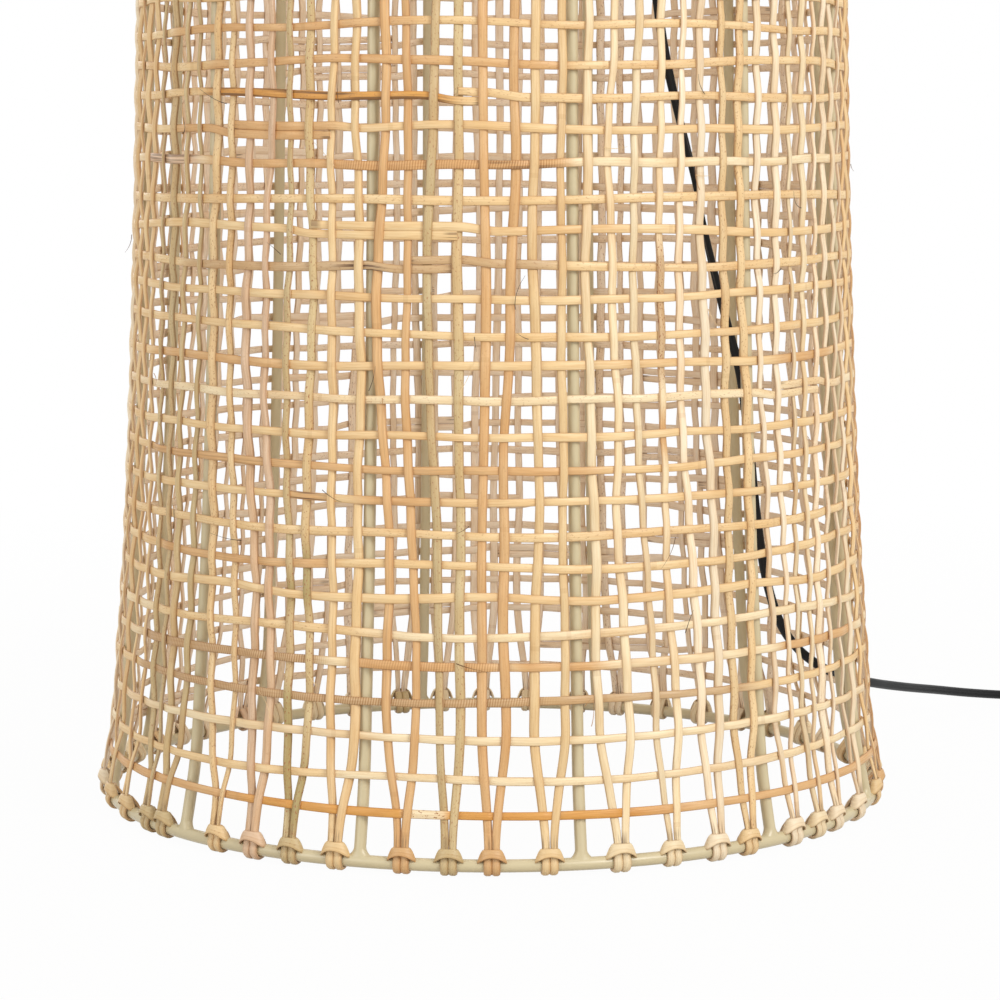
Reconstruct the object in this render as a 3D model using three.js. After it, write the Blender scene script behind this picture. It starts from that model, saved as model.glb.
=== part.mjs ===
// A tall open-weave rattan floor lamp: a welded steel cage of twelve posts between two rings, a woven cane
// cover hooked over both rings, a lampholder and bulb on a three-armed spider inside, and a flat black cord
// that drops inside the cage, leaves through the weave low down and ends in a foot switch, a coil and a plug.
// Millimetres, +Z up, origin on the floor at the middle of the foot ring.
import * as THREE from "three";

// Clearances and counts
const FIT = 0.3; // left between pieces that touch on the real lamp
const BAYS = 12; // bays between the posts
const PAIRS_PER_BAY = 4; // folded canes hooked on the foot ring in each bay
const ARMS = 3;
const FIRST_POST_DEG = 12;
const TURNED_SIDES = 18;
const SMALL_SIDES = 12;
const ROD_SIDES = 6;
const BAR_SIDES = 8;

// Steel cage
const FOOT_RING_RADIUS = 211;
const TOP_RING_RADIUS = 96;
const TOP_RING_HEIGHT = 1150;
const RING_ROD = 6.4;
const POST_ROD = 6;
const WEAVE_ROOM = 1; // from a post to the back of the weave

// Woven cover
const CANE_THICK = 2;
const PAIR_WIDTH = 8; // the two strands of one folded cane, side by side
const ROW_WIDTH = 8;
const HOOK_RISE = 3; // how far a hook's end passes the middle of its ring
const FOOT_FLARE = 1.3; // the hooks stand this much further out where they turn under the ring
// Heights of the rows as shares of the way up to the top ring, and their radii as shares of the way out
// from the top ring to the foot ring.
const ROW_HEIGHT_SHARES = [0.026, 0.113, 0.287, 0.522, 0.739, 0.878, 0.961];
const ROW_RADIUS_SHARES = [0.996, 0.915, 0.835, 0.778, 0.661, 0.45, 0.193];

// Spider
const SPIDER_HEIGHT = 880;
const HUB_RADIUS = 22;
const HUB_THICK = 3;
const ARM_ROD = 5;

// Threaded nipple, lock nut and cord grip
const NIPPLE_RADIUS = 5;
const NIPPLE_BORE = 3.5;
const NIPPLE_STAND = 3; // above the floor of the lampholder
const NUT_RADIUS = 8.5;
const NUT_THICK = 4;
const NUT_FLATS = 6;
const GRIP_LENGTH = 32;
const GRIP_TOP_RADIUS = 8;
const GRIP_END_RADIUS = 4.2;
const GRIP_COLLAR = 12;
const GRIP_SOCKET = 9;

// Lampholder
const HOLDER_RADIUS = 19.5;
const HOLDER_FOOT_RADIUS = 13;
const HOLDER_WALL = 2.5;
const HOLDER_TAPER = 7;
const HOLDER_BASE_HEIGHT = 22;
const HOLDER_LEDGE_HEIGHT = 9;
const HOLDER_WELL_RADIUS = 13.5;
const SKIRT_HEIGHT = 30;
const INSULATOR_THICK = 9;
const CONTACT_RADIUS = 4.5;
const CONTACT_THICK = 3;
const SHELL_BORE = 13.3;
const SHELL_WALL = 0.8;
const SHELL_HEIGHT = 26;

// Bulb
const BULB_RADIUS = 30;
const BULB_LENGTH = 104;
const GLASS_WALL = 1;
const GLASS_SHOULDER_DEG = -50;
const GLASS_STEPS = 7;
const CAP_WALL = 1;
const CAP_HEIGHT = 26;
const CAP_FOOT_RADIUS = 9;
const CAP_TAPER = 4;
const TIP_RADIUS = 5;
const TIP_FACE_RADIUS = 3.5;
const TIP_HEIGHT = 4;
const NECK_DEPTH = 18; // of the glass inside the cap
const STEM_FOOT = 2;
const STEM_RADIUS = 3;
const STEM_TIP_RADIUS = 2.2;
const STEM_TAPER = 9;
const STEM_LENGTH = 57;

// Cord: two cores side by side in one flat black sheath
const CORD_WIDTH = 5.4;
const CORD_THICK = 3.2;
const CORD_EDGE_SHARE = 0.75; // how far its rounded edges reach in, as a share of half its thickness
const CORD_STEPS = 78;
// The route from the cord grip to the foot switch, after its first point, which lies under the grip.
const CORD_ROUTE = [
  [0, 0, 822],
  [4, 1.1, 792],
  [17, 4.7, 735],
  [35, 9.7, 660],
  [54, 15, 582],
  [73, 20, 506],
  [88, 24.2, 446],
  [94, 27, 408],
  [101.4, 29.7, 372],
  [108.5, 32.3, 340],
  [115, 34.8, 308],
  [121.5, 37.2, 281],
  [129, 39.6, 254],
  [137, 42, 226],
  [142, 44.6, 192],
  [149, 48, 145],
  [157, 51.6, 104],
  [165.5, 54.6, 80],
  [174.5, 58, 67],
  [184.5, 62.5, 58],
  [195, 70, 51],
  [207, 83.5, 45],
  [224, 109.5, 37],
  [249, 149, 27],
  [274, 185, 18.5],
  [298, 212.5, 11.5],
  [320, 231, 6.8],
  [333, 237.8, 5.1],
  [343, 240, 4.6],
  [352, 240, 4.5],
];

// Foot switch on the cord
const SWITCH_LENGTH = 62;
const SWITCH_WIDTH = 27;
const SWITCH_CORNER = 7;
const SWITCH_BASE_HEIGHT = 6;
const SWITCH_COVER_HEIGHT = 10;
const BUTTON_LENGTH = 22;
const BUTTON_WIDTH = 15;
const BUTTON_CORNER = 4;
const BUTTON_PROUD = 3.5;
const BUTTON_TRAVEL = 2.5;
const BUTTON_PLAY = 0.4;
const RELIEF_LENGTH = 12;
const RELIEF_RADIUS = 4.2;
const RELIEF_END_RADIUS = 3.3;

// Coil of the spare cord and its tie
const COIL_TURNS = 7.25;
const COIL_RADIUS = 43.4; // to the middle of the outermost turn
const COIL_GAP = 0.6; // between turns, sideways and in height
const COIL_SETBACK = 70; // from the switch's line to the middle of the coil
const LOOP_STEPS = 24;
const LEAD_BEND = 30;
const LEAD_STEPS = 6;
const LEAD_OUT = 29;
const TIE_THICK = 1;
const TIE_WIDTH = 10;
const TIE_SLACK = 1;

// Two-pin plug
const PLUG_LENGTH = 35;
const PLUG_WIDTH = 26;
const PLUG_BACK_WIDTH = 11;
const PLUG_THICK = 13.4;
const PLUG_RELIEF_LENGTH = 20;
const PLUG_RELIEF_RADIUS = 5;
const PIN_RADIUS = 2;
const PIN_LENGTH = 19;
const PIN_SPACING = 18.6;
const PLUG_WAIST_WIDTH = 16;
// Where the waist ends and where the full width starts, as shares of the body's length
const PLUG_WAIST_SHARES = [0.3, 0.62];

const FULL_TURN = 2 * Math.PI;
const FIRST_POST = THREE.MathUtils.degToRad(FIRST_POST_DEG);
const BAY = FULL_TURN / BAYS;
const UP = new THREE.Vector3(0, 0, 1);
const PLUMB_LIMIT = 0.02; // a run whose level share is below this counts as plumb

const finishes = {
  cane: new THREE.MeshStandardMaterial({ color: 0xe2c08c, roughness: 0.6, metalness: 0 }),
  paintedSteel: new THREE.MeshStandardMaterial({ color: 0xcbb893, roughness: 0.45, metalness: 0 }),
  zincSteel: new THREE.MeshStandardMaterial({ color: 0xb9bcc0, roughness: 0.35, metalness: 1 }),
  brass: new THREE.MeshStandardMaterial({ color: 0xc9a24e, roughness: 0.3, metalness: 1 }),
  blackPlastic: new THREE.MeshStandardMaterial({ color: 0x1b1b1c, roughness: 0.5, metalness: 0 }),
  blackCord: new THREE.MeshStandardMaterial({ color: 0x222325, roughness: 0.55, metalness: 0 }),
  ceramic: new THREE.MeshStandardMaterial({ color: 0xe9e4d8, roughness: 0.4, metalness: 0 }),
  nickel: new THREE.MeshStandardMaterial({ color: 0xc9c7c0, roughness: 0.25, metalness: 1 }),
  glass: new THREE.MeshStandardMaterial({
    color: 0xf4f2ea,
    roughness: 0.1,
    transparent: true,
    opacity: 0.35,
  }),
};

const lamp = new THREE.Group();

function add(name, geometry, finish, parent = lamp) {
  const mesh = new THREE.Mesh(geometry, finish);
  mesh.name = name;
  parent.add(mesh);
  return mesh;
}

// Heights and radii that several pieces share
const ringRadius = RING_ROD / 2;
const postRadius = POST_ROD / 2;
const halfCane = CANE_THICK / 2;
const hookReach = ringRadius + FIT + halfCane; // from a ring's middle to the middle of a cane hooked over it
const footRingHeight = CANE_THICK + FIT + ringRadius;
const postInset = halfCane + WEAVE_ROOM + postRadius;

// The weave's middle surface as [radius, height], from the floor to the top of the hooks.
const weaveProfile = [
  [FOOT_RING_RADIUS + hookReach + FOOT_FLARE, halfCane],
  ...ROW_HEIGHT_SHARES.map((share, i) => [
    TOP_RING_RADIUS + ROW_RADIUS_SHARES[i] * (FOOT_RING_RADIUS - TOP_RING_RADIUS),
    share * TOP_RING_HEIGHT,
  ]),
  [TOP_RING_RADIUS + hookReach, TOP_RING_HEIGHT + hookReach],
];

function weaveRadius(height) {
  const above = weaveProfile.findIndex(([, z], i) => i > 0 && z >= height);
  const [r0, z0] = weaveProfile[above - 1];
  const [r1, z1] = weaveProfile[above];
  return r0 + ((r1 - r0) * (height - z0)) / (z1 - z0);
}

// A solid of revolution round +Z from a profile of [radius, height] that runs up its outside.
function turned(profile, segments) {
  const points = profile.map(([r, z]) => new THREE.Vector2(r, z));
  return new THREE.LatheGeometry(points, segments).rotateX(FULL_TURN / 4);
}

// A ring or tube: the profile is closed back onto its first point.
function turnedRing(profile, segments) {
  return turned([...profile, profile[0]], segments);
}

function regularOutline(radius, sides) {
  const shape = [];
  for (let i = 0; i < sides; i += 1) {
    const angle = (i * FULL_TURN) / sides;
    shape.push([radius * Math.cos(angle), radius * Math.sin(angle)]);
  }
  return shape;
}

function shapeOf(outline) {
  return new THREE.Shape(outline.map(([x, y]) => new THREE.Vector2(x, y)));
}

function roundedRectangle(length, width, corner, Path = THREE.Shape) {
  const [x, y] = [length / 2, width / 2];
  const path = new Path();
  path.absarc(x - corner, y - corner, corner, 0, FULL_TURN / 4);
  path.absarc(corner - x, y - corner, corner, FULL_TURN / 4, FULL_TURN / 2);
  path.absarc(corner - x, corner - y, corner, FULL_TURN / 2, (3 * FULL_TURN) / 4);
  path.absarc(x - corner, corner - y, corner, (3 * FULL_TURN) / 4, FULL_TURN);
  return path;
}

function extruded(shape, depth, curveSegments = 3) {
  return new THREE.ExtrudeGeometry(shape, { depth, bevelEnabled: false, curveSegments });
}

// A path with one section at each of its own points. Each section's width lies along the given direction.
class SectionPath extends THREE.Curve {
  constructor(points, widths) {
    super();
    this.points = points;
    this.widths = widths;
  }

  getPoint(t) {
    const place = t * (this.points.length - 1);
    const i = Math.min(Math.floor(place + 1e-6), this.points.length - 2);
    return this.points[i].clone().lerp(this.points[i + 1], place - i);
  }

  getPointAt(u) {
    return this.getPoint(u);
  }

  computeFrenetFrames() {
    const tangents = tangentsOf(this.points);
    const binormals = tangents.map((tangent, i) => tangent.clone().cross(this.widths[i]).normalize());
    return { tangents, normals: this.widths, binormals };
  }
}

function tangentsOf(points) {
  return points.map((point, i) => {
    const before = points[Math.max(i - 1, 0)];
    const after = points[Math.min(i + 1, points.length - 1)];
    return after.clone().sub(before).normalize();
  });
}

// The flat cord's width lies level, square to its run.
// Where the cord hangs plumb, its width lies as in the next stretch.
function levelWidths(points) {
  const widths = tangentsOf(points).map((tangent) => UP.clone().cross(tangent));
  for (let i = widths.length - 2; i >= 0; i -= 1) {
    if (widths[i].length() < PLUMB_LIMIT) widths[i].copy(widths[i + 1]);
    widths[i].normalize();
  }
  widths.at(-1).normalize();
  return widths;
}

function extrudedAlong(outline, points, widths) {
  const path = new SectionPath(points, widths);
  return new THREE.ExtrudeGeometry(shapeOf(outline), {
    steps: points.length - 1,
    extrudePath: path,
  });
}

// The woven cover of one bay: folded canes as upright bars, hooked over both rings, with rows across them.
function wovenPanel(bay) {
  const footInner = FOOT_RING_RADIUS - hookReach;
  const topInner = TOP_RING_RADIUS - hookReach;
  const [footOuter, ...rowsAndTop] = weaveProfile;
  const topOuter = rowsAndTop.pop();
  const line = [[footInner, footRingHeight + HOOK_RISE], [footInner, halfCane], footOuter];
  const rowCells = new Set();
  for (const [, height] of rowsAndTop) {
    rowCells.add(line.length);
    for (const edge of [height - ROW_WIDTH / 2, height + ROW_WIDTH / 2]) line.push([weaveRadius(edge), edge]);
  }
  line.push(topOuter, [topInner, topOuter[1]], [topInner, TOP_RING_HEIGHT - HOOK_RISE]);

  const columns = [[bay * BAY, FIT / 2]];
  for (let pair = 0; pair < PAIRS_PER_BAY; pair += 1) {
    const middle = bay * BAY + ((pair + 0.5) * BAY) / PAIRS_PER_BAY;
    columns.push([middle, -PAIR_WIDTH / 2], [middle, PAIR_WIDTH / 2]);
  }
  columns.push([(bay + 1) * BAY, -FIT / 2]);
  return lattice(line, columns, (column, cell) => column % 2 === 1 || rowCells.has(cell));
}

// A wall of CANE_THICK round a profile line, solid only in the cells that isSolid names.
// A column is an angle and a distance along the arc from it.
function lattice(line, columns, isSolid) {
  const offsets = line.map((point, i) => cornerOffset(line, i));
  const wide = columns.length;
  const position = [];
  for (const side of [1, -1]) {
    line.forEach(([radius, height], i) => {
      const r = radius + side * offsets[i][0];
      const z = height + side * offsets[i][1];
      for (const [turn, along] of columns) {
        const angle = FIRST_POST + turn + along / radius;
        position.push(r * Math.cos(angle), r * Math.sin(angle), z);
      }
    });
  }
  const outer = (column, row) => row * wide + column;
  const inner = (column, row) => outer(column, row) + line.length * wide;
  const index = [];
  const quad = (a, b, c, d) => index.push(a, b, c, a, c, d);
  const solid = (c, r) => c >= 0 && r >= 0 && c < wide - 1 && r < line.length - 1 && isSolid(c, r);
  for (let r = 0; r < line.length - 1; r += 1) {
    for (let c = 0; c < wide - 1; c += 1) {
      if (!solid(c, r)) continue;
      const [e, n] = [c + 1, r + 1];
      quad(outer(c, r), outer(e, r), outer(e, n), outer(c, n));
      quad(inner(c, r), inner(c, n), inner(e, n), inner(e, r));
      if (!solid(e, r)) quad(outer(e, r), inner(e, r), inner(e, n), outer(e, n));
      if (!solid(c - 1, r)) quad(outer(c, r), outer(c, n), inner(c, n), inner(c, r));
      if (!solid(c, n)) quad(outer(c, n), outer(e, n), inner(e, n), inner(c, n));
      if (!solid(c, r - 1)) quad(outer(c, r), inner(c, r), inner(e, r), outer(e, r));
    }
  }
  return geometryOf(position, index);
}

function geometryOf(position, index) {
  const used = [...new Set(index)];
  const renumbered = new Map(used.map((old, i) => [old, i]));
  const kept = used.flatMap((i) => position.slice(3 * i, 3 * i + 3));
  const geometry = new THREE.BufferGeometry();
  geometry.setAttribute("position", new THREE.Float32BufferAttribute(kept, 3));
  geometry.setIndex(index.map((i) => renumbered.get(i)));
  geometry.computeVertexNormals();
  return geometry;
}

// From the middle of the wall to its outer face at one point of the line, mitred where the line turns.
function cornerOffset(line, i) {
  const normals = [];
  for (const [a, b] of [[line[i - 1], line[i]], [line[i], line[i + 1]]]) {
    if (!a || !b) continue;
    normals.push(new THREE.Vector2(b[1] - a[1], a[0] - b[0]).normalize());
  }
  const mean = normals.reduce((sum, normal) => sum.add(normal), new THREE.Vector2()).normalize();
  mean.multiplyScalar(halfCane / mean.dot(normals.at(-1)));
  return [mean.x, mean.y];
}

function numbered(word, i) {
  return word + "_" + String(i + 1).padStart(2, "0");
}

function buildCover() {
  for (let bay = 0; bay < BAYS; bay += 1) add(numbered("woven_panel", bay), wovenPanel(bay), finishes.cane);
}

function rodRing(radius, height, segments) {
  const profile = regularOutline(ringRadius, ROD_SIDES).map(([x, z]) => [radius + x, height + z]);
  return turnedRing(profile, segments);
}

function postGeometry(angle) {
  const outward = new THREE.Vector3(Math.cos(angle), Math.sin(angle), 0);
  const foot = footRingHeight + ringRadius + FIT;
  const head = TOP_RING_HEIGHT - ringRadius - FIT;
  const heights = [foot, ...ROW_HEIGHT_SHARES.map((share) => share * TOP_RING_HEIGHT), head];
  const points = heights.map((z) => outward.clone().multiplyScalar(weaveRadius(z) - postInset).setZ(z));
  const widths = points.map(() => outward.clone());
  return extrudedAlong(regularOutline(postRadius, ROD_SIDES), points, widths);
}

function buildCage() {
  add("foot_ring", rodRing(FOOT_RING_RADIUS, footRingHeight, 4 * BAYS), finishes.paintedSteel);
  add("top_ring", rodRing(TOP_RING_RADIUS, TOP_RING_HEIGHT, 3 * BAYS), finishes.paintedSteel);
  for (let i = 0; i < BAYS; i += 1) {
    add(numbered("post", i), postGeometry(FIRST_POST + i * BAY), finishes.paintedSteel);
  }
}

function buildSpider() {
  const top = SPIDER_HEIGHT + HUB_THICK;
  const bore = NIPPLE_RADIUS + FIT;
  const disc = [[bore, SPIDER_HEIGHT], [HUB_RADIUS, SPIDER_HEIGHT], [HUB_RADIUS, top], [bore, top]];
  add("spider_hub", turnedRing(disc, TURNED_SIDES), finishes.paintedSteel);
  const height = SPIDER_HEIGHT + HUB_THICK / 2;
  const start = HUB_RADIUS + FIT;
  const end = weaveRadius(height) - postInset - postRadius - FIT;
  for (let i = 0; i < ARMS; i += 1) {
    const rod = new THREE.CylinderGeometry(ARM_ROD / 2, ARM_ROD / 2, end - start, BAR_SIDES);
    rod.rotateZ(FULL_TURN / 4).translate((start + end) / 2, 0, 0);
    const arm = add(numbered("spider_arm", i), rod, finishes.paintedSteel);
    arm.position.z = height;
    arm.rotation.z = FIRST_POST + (i * FULL_TURN) / ARMS;
  }
}

const nutTop = SPIDER_HEIGHT - FIT;
const gripTop = nutTop - NUT_THICK - FIT;
const cordExit = gripTop - GRIP_LENGTH;
const holderFoot = SPIDER_HEIGHT + HUB_THICK + FIT;
const insulatorFoot = holderFoot + HOLDER_LEDGE_HEIGHT + FIT;
const insulatorTop = insulatorFoot + INSULATOR_THICK;
const bulbFoot = insulatorTop + FIT + CONTACT_THICK + FIT;

function buildNippleAndGrip() {
  const bore = NIPPLE_RADIUS + FIT;
  const low = gripTop - GRIP_SOCKET + FIT;
  const high = holderFoot + HOLDER_WALL + NIPPLE_STAND;
  const tube = [[NIPPLE_BORE, low], [NIPPLE_RADIUS, low], [NIPPLE_RADIUS, high], [NIPPLE_BORE, high]];
  add("threaded_nipple", turnedRing(tube, SMALL_SIDES), finishes.zincSteel);
  const nutBore = bore / Math.cos(FULL_TURN / (2 * NUT_FLATS));
  const nut = [
    [nutBore, nutTop - NUT_THICK],
    [NUT_RADIUS, nutTop - NUT_THICK],
    [NUT_RADIUS, nutTop],
    [nutBore, nutTop],
  ];
  add("lock_nut", turnedRing(nut, NUT_FLATS), finishes.zincSteel);
  const grip = [
    [0, cordExit],
    [GRIP_END_RADIUS, cordExit],
    [GRIP_TOP_RADIUS, gripTop - GRIP_COLLAR],
    [GRIP_TOP_RADIUS, gripTop],
    [bore, gripTop],
    [bore, gripTop - GRIP_SOCKET],
    [0, gripTop - GRIP_SOCKET],
  ];
  add("cord_grip", turned(grip, SMALL_SIDES), finishes.blackPlastic);
}

function buildLampholder() {
  const bore = NIPPLE_RADIUS + FIT;
  const rim = holderFoot + HOLDER_BASE_HEIGHT;
  const ledge = holderFoot + HOLDER_LEDGE_HEIGHT;
  const inside = HOLDER_RADIUS - HOLDER_WALL;
  const base = [
    [bore, holderFoot],
    [HOLDER_FOOT_RADIUS, holderFoot],
    [HOLDER_RADIUS, holderFoot + HOLDER_TAPER],
    [HOLDER_RADIUS, rim],
    [inside, rim],
    [inside, ledge],
    [HOLDER_WELL_RADIUS, ledge],
    [HOLDER_WELL_RADIUS, holderFoot + HOLDER_WALL],
    [bore, holderFoot + HOLDER_WALL],
  ];
  add("holder_base", turnedRing(base, TURNED_SIDES), finishes.blackPlastic);
  const disc = inside - FIT;
  const insulator = [[0, insulatorFoot], [disc, insulatorFoot], [disc, insulatorTop], [0, insulatorTop]];
  add("holder_insulator", turned(insulator, TURNED_SIDES), finishes.ceramic);
  const contactFoot = insulatorTop + FIT;
  const contact = [
    [0, contactFoot],
    [CONTACT_RADIUS, contactFoot],
    [CONTACT_RADIUS, contactFoot + CONTACT_THICK],
    [0, contactFoot + CONTACT_THICK],
  ];
  add("holder_contact", turned(contact, SMALL_SIDES), finishes.brass);
  const shellOut = SHELL_BORE + SHELL_WALL;
  const shell = [
    [SHELL_BORE, contactFoot],
    [shellOut, contactFoot],
    [shellOut, contactFoot + SHELL_HEIGHT],
    [SHELL_BORE, contactFoot + SHELL_HEIGHT],
  ];
  add("holder_screw_shell", turnedRing(shell, TURNED_SIDES), finishes.brass);
  const skirtFoot = rim + FIT;
  const skirt = [
    [shellOut + FIT, skirtFoot],
    [HOLDER_RADIUS, skirtFoot],
    [HOLDER_RADIUS, skirtFoot + SKIRT_HEIGHT],
    [shellOut + FIT, skirtFoot + SKIRT_HEIGHT],
  ];
  add("holder_skirt", turnedRing(skirt, TURNED_SIDES), finishes.blackPlastic);
}

// One face of the glass, from the mouth of the neck to the crown.
function glassFace(neckRadius, bulbRadius, mouth, capTop, centre) {
  const face = [[neckRadius, mouth], [neckRadius, capTop]];
  const shoulder = THREE.MathUtils.degToRad(GLASS_SHOULDER_DEG);
  for (let i = 0; i <= GLASS_STEPS; i += 1) {
    const angle = shoulder + ((FULL_TURN / 4 - shoulder) * i) / GLASS_STEPS;
    const onAxis = i === GLASS_STEPS;
    face.push([onAxis ? 0 : bulbRadius * Math.cos(angle), centre + bulbRadius * Math.sin(angle)]);
  }
  return face;
}

function buildBulb() {
  const capFoot = bulbFoot + TIP_HEIGHT / 2;
  const capTop = capFoot + CAP_HEIGHT;
  const capRadius = SHELL_BORE - FIT;
  const capBore = capRadius - CAP_WALL;
  const tipHole = TIP_RADIUS + FIT;
  const cap = [
    [tipHole, capFoot],
    [CAP_FOOT_RADIUS, capFoot],
    [capRadius, capFoot + CAP_TAPER],
    [capRadius, capTop],
    [capBore, capTop],
    [capBore, capFoot + CAP_TAPER + CAP_WALL],
    [CAP_FOOT_RADIUS - CAP_WALL, capFoot + CAP_WALL],
    [tipHole, capFoot + CAP_WALL],
  ];
  add("bulb_cap", turnedRing(cap, TURNED_SIDES), finishes.nickel);
  const tip = [
    [0, bulbFoot],
    [TIP_FACE_RADIUS, bulbFoot],
    [TIP_RADIUS, bulbFoot + TIP_HEIGHT / 2],
    [TIP_RADIUS, bulbFoot + TIP_HEIGHT],
    [0, bulbFoot + TIP_HEIGHT],
  ];
  add("bulb_tip", turned(tip, SMALL_SIDES), finishes.nickel);
  const mouth = capTop - NECK_DEPTH;
  const neck = capBore - FIT;
  const centre = bulbFoot + BULB_LENGTH - BULB_RADIUS;
  const outside = glassFace(neck, BULB_RADIUS, mouth, capTop, centre);
  const inside = glassFace(neck - GLASS_WALL, BULB_RADIUS - GLASS_WALL, mouth, capTop, centre);
  const glass = [...inside.reverse(), ...outside];
  add("bulb_glass", turned(glass, TURNED_SIDES), finishes.glass);
  const stemFoot = mouth + FIT;
  const stemRadius = neck - GLASS_WALL - FIT;
  const stem = [
    [0, stemFoot],
    [stemRadius, stemFoot],
    [stemRadius, stemFoot + STEM_FOOT],
    [STEM_RADIUS, stemFoot + STEM_FOOT + STEM_TAPER],
    [STEM_TIP_RADIUS, stemFoot + STEM_LENGTH],
    [0, stemFoot + STEM_LENGTH],
  ];
  add("bulb_stem", turned(stem, SMALL_SIDES), finishes.glass);
}

// The cord's flat section with its corners rounded off.
function cordOutline(cornerPoints) {
  const [x, y] = [CORD_WIDTH / 2, CORD_THICK / 2];
  const flat = x - y * CORD_EDGE_SHARE;
  const side = cornerPoints === 2 ? [[x, -y / 2], [x, y / 2]] : [[x, 0]];
  const right = [[flat, -y], ...side, [flat, y]];
  return [...right, ...right.map(([px, py]) => [-px, -py])];
}

const route = [[0, 0, cordExit - FIT], ...CORD_ROUTE].map((point) => new THREE.Vector3(...point));
const switchEntry = route.at(-1);

function buildLampCord() {
  const points = new THREE.CatmullRomCurve3(route, false, "centripetal").getSpacedPoints(CORD_STEPS);
  add("lamp_cord", extrudedAlong(cordOutline(2), points, levelWidths(points)), finishes.blackCord);
  return lengthOf(points);
}

function lengthOf(points) {
  return points.slice(1).reduce((sum, point, i) => sum + point.distanceTo(points[i]), 0);
}

// A tapered relief along +X from its thin end.
function relief(length, thinRadius, thickRadius) {
  const profile = [[0, 0], [thinRadius, 0], [thickRadius, length], [0, length]];
  return turned(profile, SMALL_SIDES).rotateY(FULL_TURN / 4);
}

function buildSwitch() {
  const start = switchEntry.x + FIT;
  const body = start + RELIEF_LENGTH + FIT;
  const unit = new THREE.Group();
  unit.position.set(body + SWITCH_LENGTH / 2, switchEntry.y, 0);
  lamp.add(unit);
  const outline = roundedRectangle(SWITCH_LENGTH, SWITCH_WIDTH, SWITCH_CORNER);
  add("switch_base", extruded(outline, SWITCH_BASE_HEIGHT), finishes.blackPlastic, unit);
  const frame = roundedRectangle(SWITCH_LENGTH, SWITCH_WIDTH, SWITCH_CORNER);
  frame.holes.push(roundedRectangle(BUTTON_LENGTH, BUTTON_WIDTH, BUTTON_CORNER, THREE.Path));
  const cover = add("switch_cover", extruded(frame, SWITCH_COVER_HEIGHT), finishes.blackPlastic, unit);
  cover.position.z = SWITCH_BASE_HEIGHT + FIT;
  const play = 2 * BUTTON_PLAY;
  const key = roundedRectangle(BUTTON_LENGTH - play, BUTTON_WIDTH - play, BUTTON_CORNER - BUTTON_PLAY);
  const keyFoot = SWITCH_BASE_HEIGHT + FIT + BUTTON_TRAVEL + FIT;
  const keyTop = SWITCH_BASE_HEIGHT + FIT + SWITCH_COVER_HEIGHT + BUTTON_PROUD;
  const button = add("switch_button", extruded(key, keyTop - keyFoot), finishes.blackPlastic, unit);
  button.position.z = keyFoot;
  const switchRelief = relief(RELIEF_LENGTH, RELIEF_END_RADIUS, RELIEF_RADIUS);
  const entry = add("switch_relief_lamp", switchRelief, finishes.blackPlastic);
  entry.position.set(start, switchEntry.y, switchEntry.z);
  const exit = add("switch_relief_coil", switchRelief.clone().rotateZ(FULL_TURN / 2), finishes.blackPlastic);
  const end = body + SWITCH_LENGTH + FIT + RELIEF_LENGTH;
  exit.position.set(end, switchEntry.y, switchEntry.z);
  return new THREE.Vector3(end + FIT, switchEntry.y, switchEntry.z);
}

const turnPitch = CORD_WIDTH + COIL_GAP;
const layerRise = CORD_THICK + COIL_GAP;
const coilHeight = TIE_THICK + FIT + CORD_THICK / 2;

// The coil winds inwards on the floor, climbs in the half turn where it reverses, and winds out again on top.
function coilPoints(start) {
  const points = [start.clone(), start.clone().setX(start.x + CORD_WIDTH)];
  const bend = points[1].clone().setY(start.y - LEAD_BEND);
  for (let i = 1; i <= LEAD_STEPS; i += 1) {
    const angle = (FULL_TURN / 4) * (1 - i / LEAD_STEPS);
    const x = bend.x + LEAD_BEND * Math.cos(angle);
    const y = bend.y + LEAD_BEND * Math.sin(angle);
    points.push(new THREE.Vector3(x, y, start.z + ((coilHeight - start.z) * i) / LEAD_STEPS));
  }
  const middle = new THREE.Vector3(bend.x + LEAD_BEND - COIL_RADIUS, start.y - COIL_SETBACK, coilHeight);
  const half = COIL_TURNS / 2;
  const steps = Math.round(COIL_TURNS * LOOP_STEPS);
  for (let i = 0; i <= steps; i += 1) {
    const turns = (COIL_TURNS * i) / steps;
    const radius = COIL_RADIUS - turnPitch * Math.min(turns, COIL_TURNS - turns);
    const climbed = THREE.MathUtils.clamp((turns - half) / 0.5 + 0.5, 0, 1);
    const angle = -turns * FULL_TURN;
    const x = middle.x + radius * Math.cos(angle);
    points.push(new THREE.Vector3(x, middle.y + radius * Math.sin(angle), middle.z + layerRise * climbed));
  }
  const last = points.at(-1);
  points.push(new THREE.Vector3(last.x - LEAD_OUT, last.y, PLUG_THICK / 2));
  return { points, middle };
}

function sweptTube(outline, points, widths) {
  const tangents = tangentsOf(points);
  const sides = outline.length;
  const position = [];
  points.forEach((point, i) => {
    const across = tangents[i].clone().cross(widths[i]).normalize();
    for (const [x, y] of outline) {
      const corner = point.clone().addScaledVector(widths[i], x).addScaledVector(across, y);
      position.push(corner.x, corner.y, corner.z);
    }
  });
  const index = [];
  for (let ring = 0; ring < points.length - 1; ring += 1) {
    for (let side = 0; side < sides; side += 1) {
      const [a, b] = [ring * sides + side, ring * sides + ((side + 1) % sides)];
      index.push(a, b, b + sides, a, b + sides, a + sides);
    }
  }
  const end = (points.length - 1) * sides;
  for (let side = 1; side < sides - 1; side += 1) {
    index.push(0, side + 1, side, end, end + side, end + side + 1);
  }
  return geometryOf(position, index);
}

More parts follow.
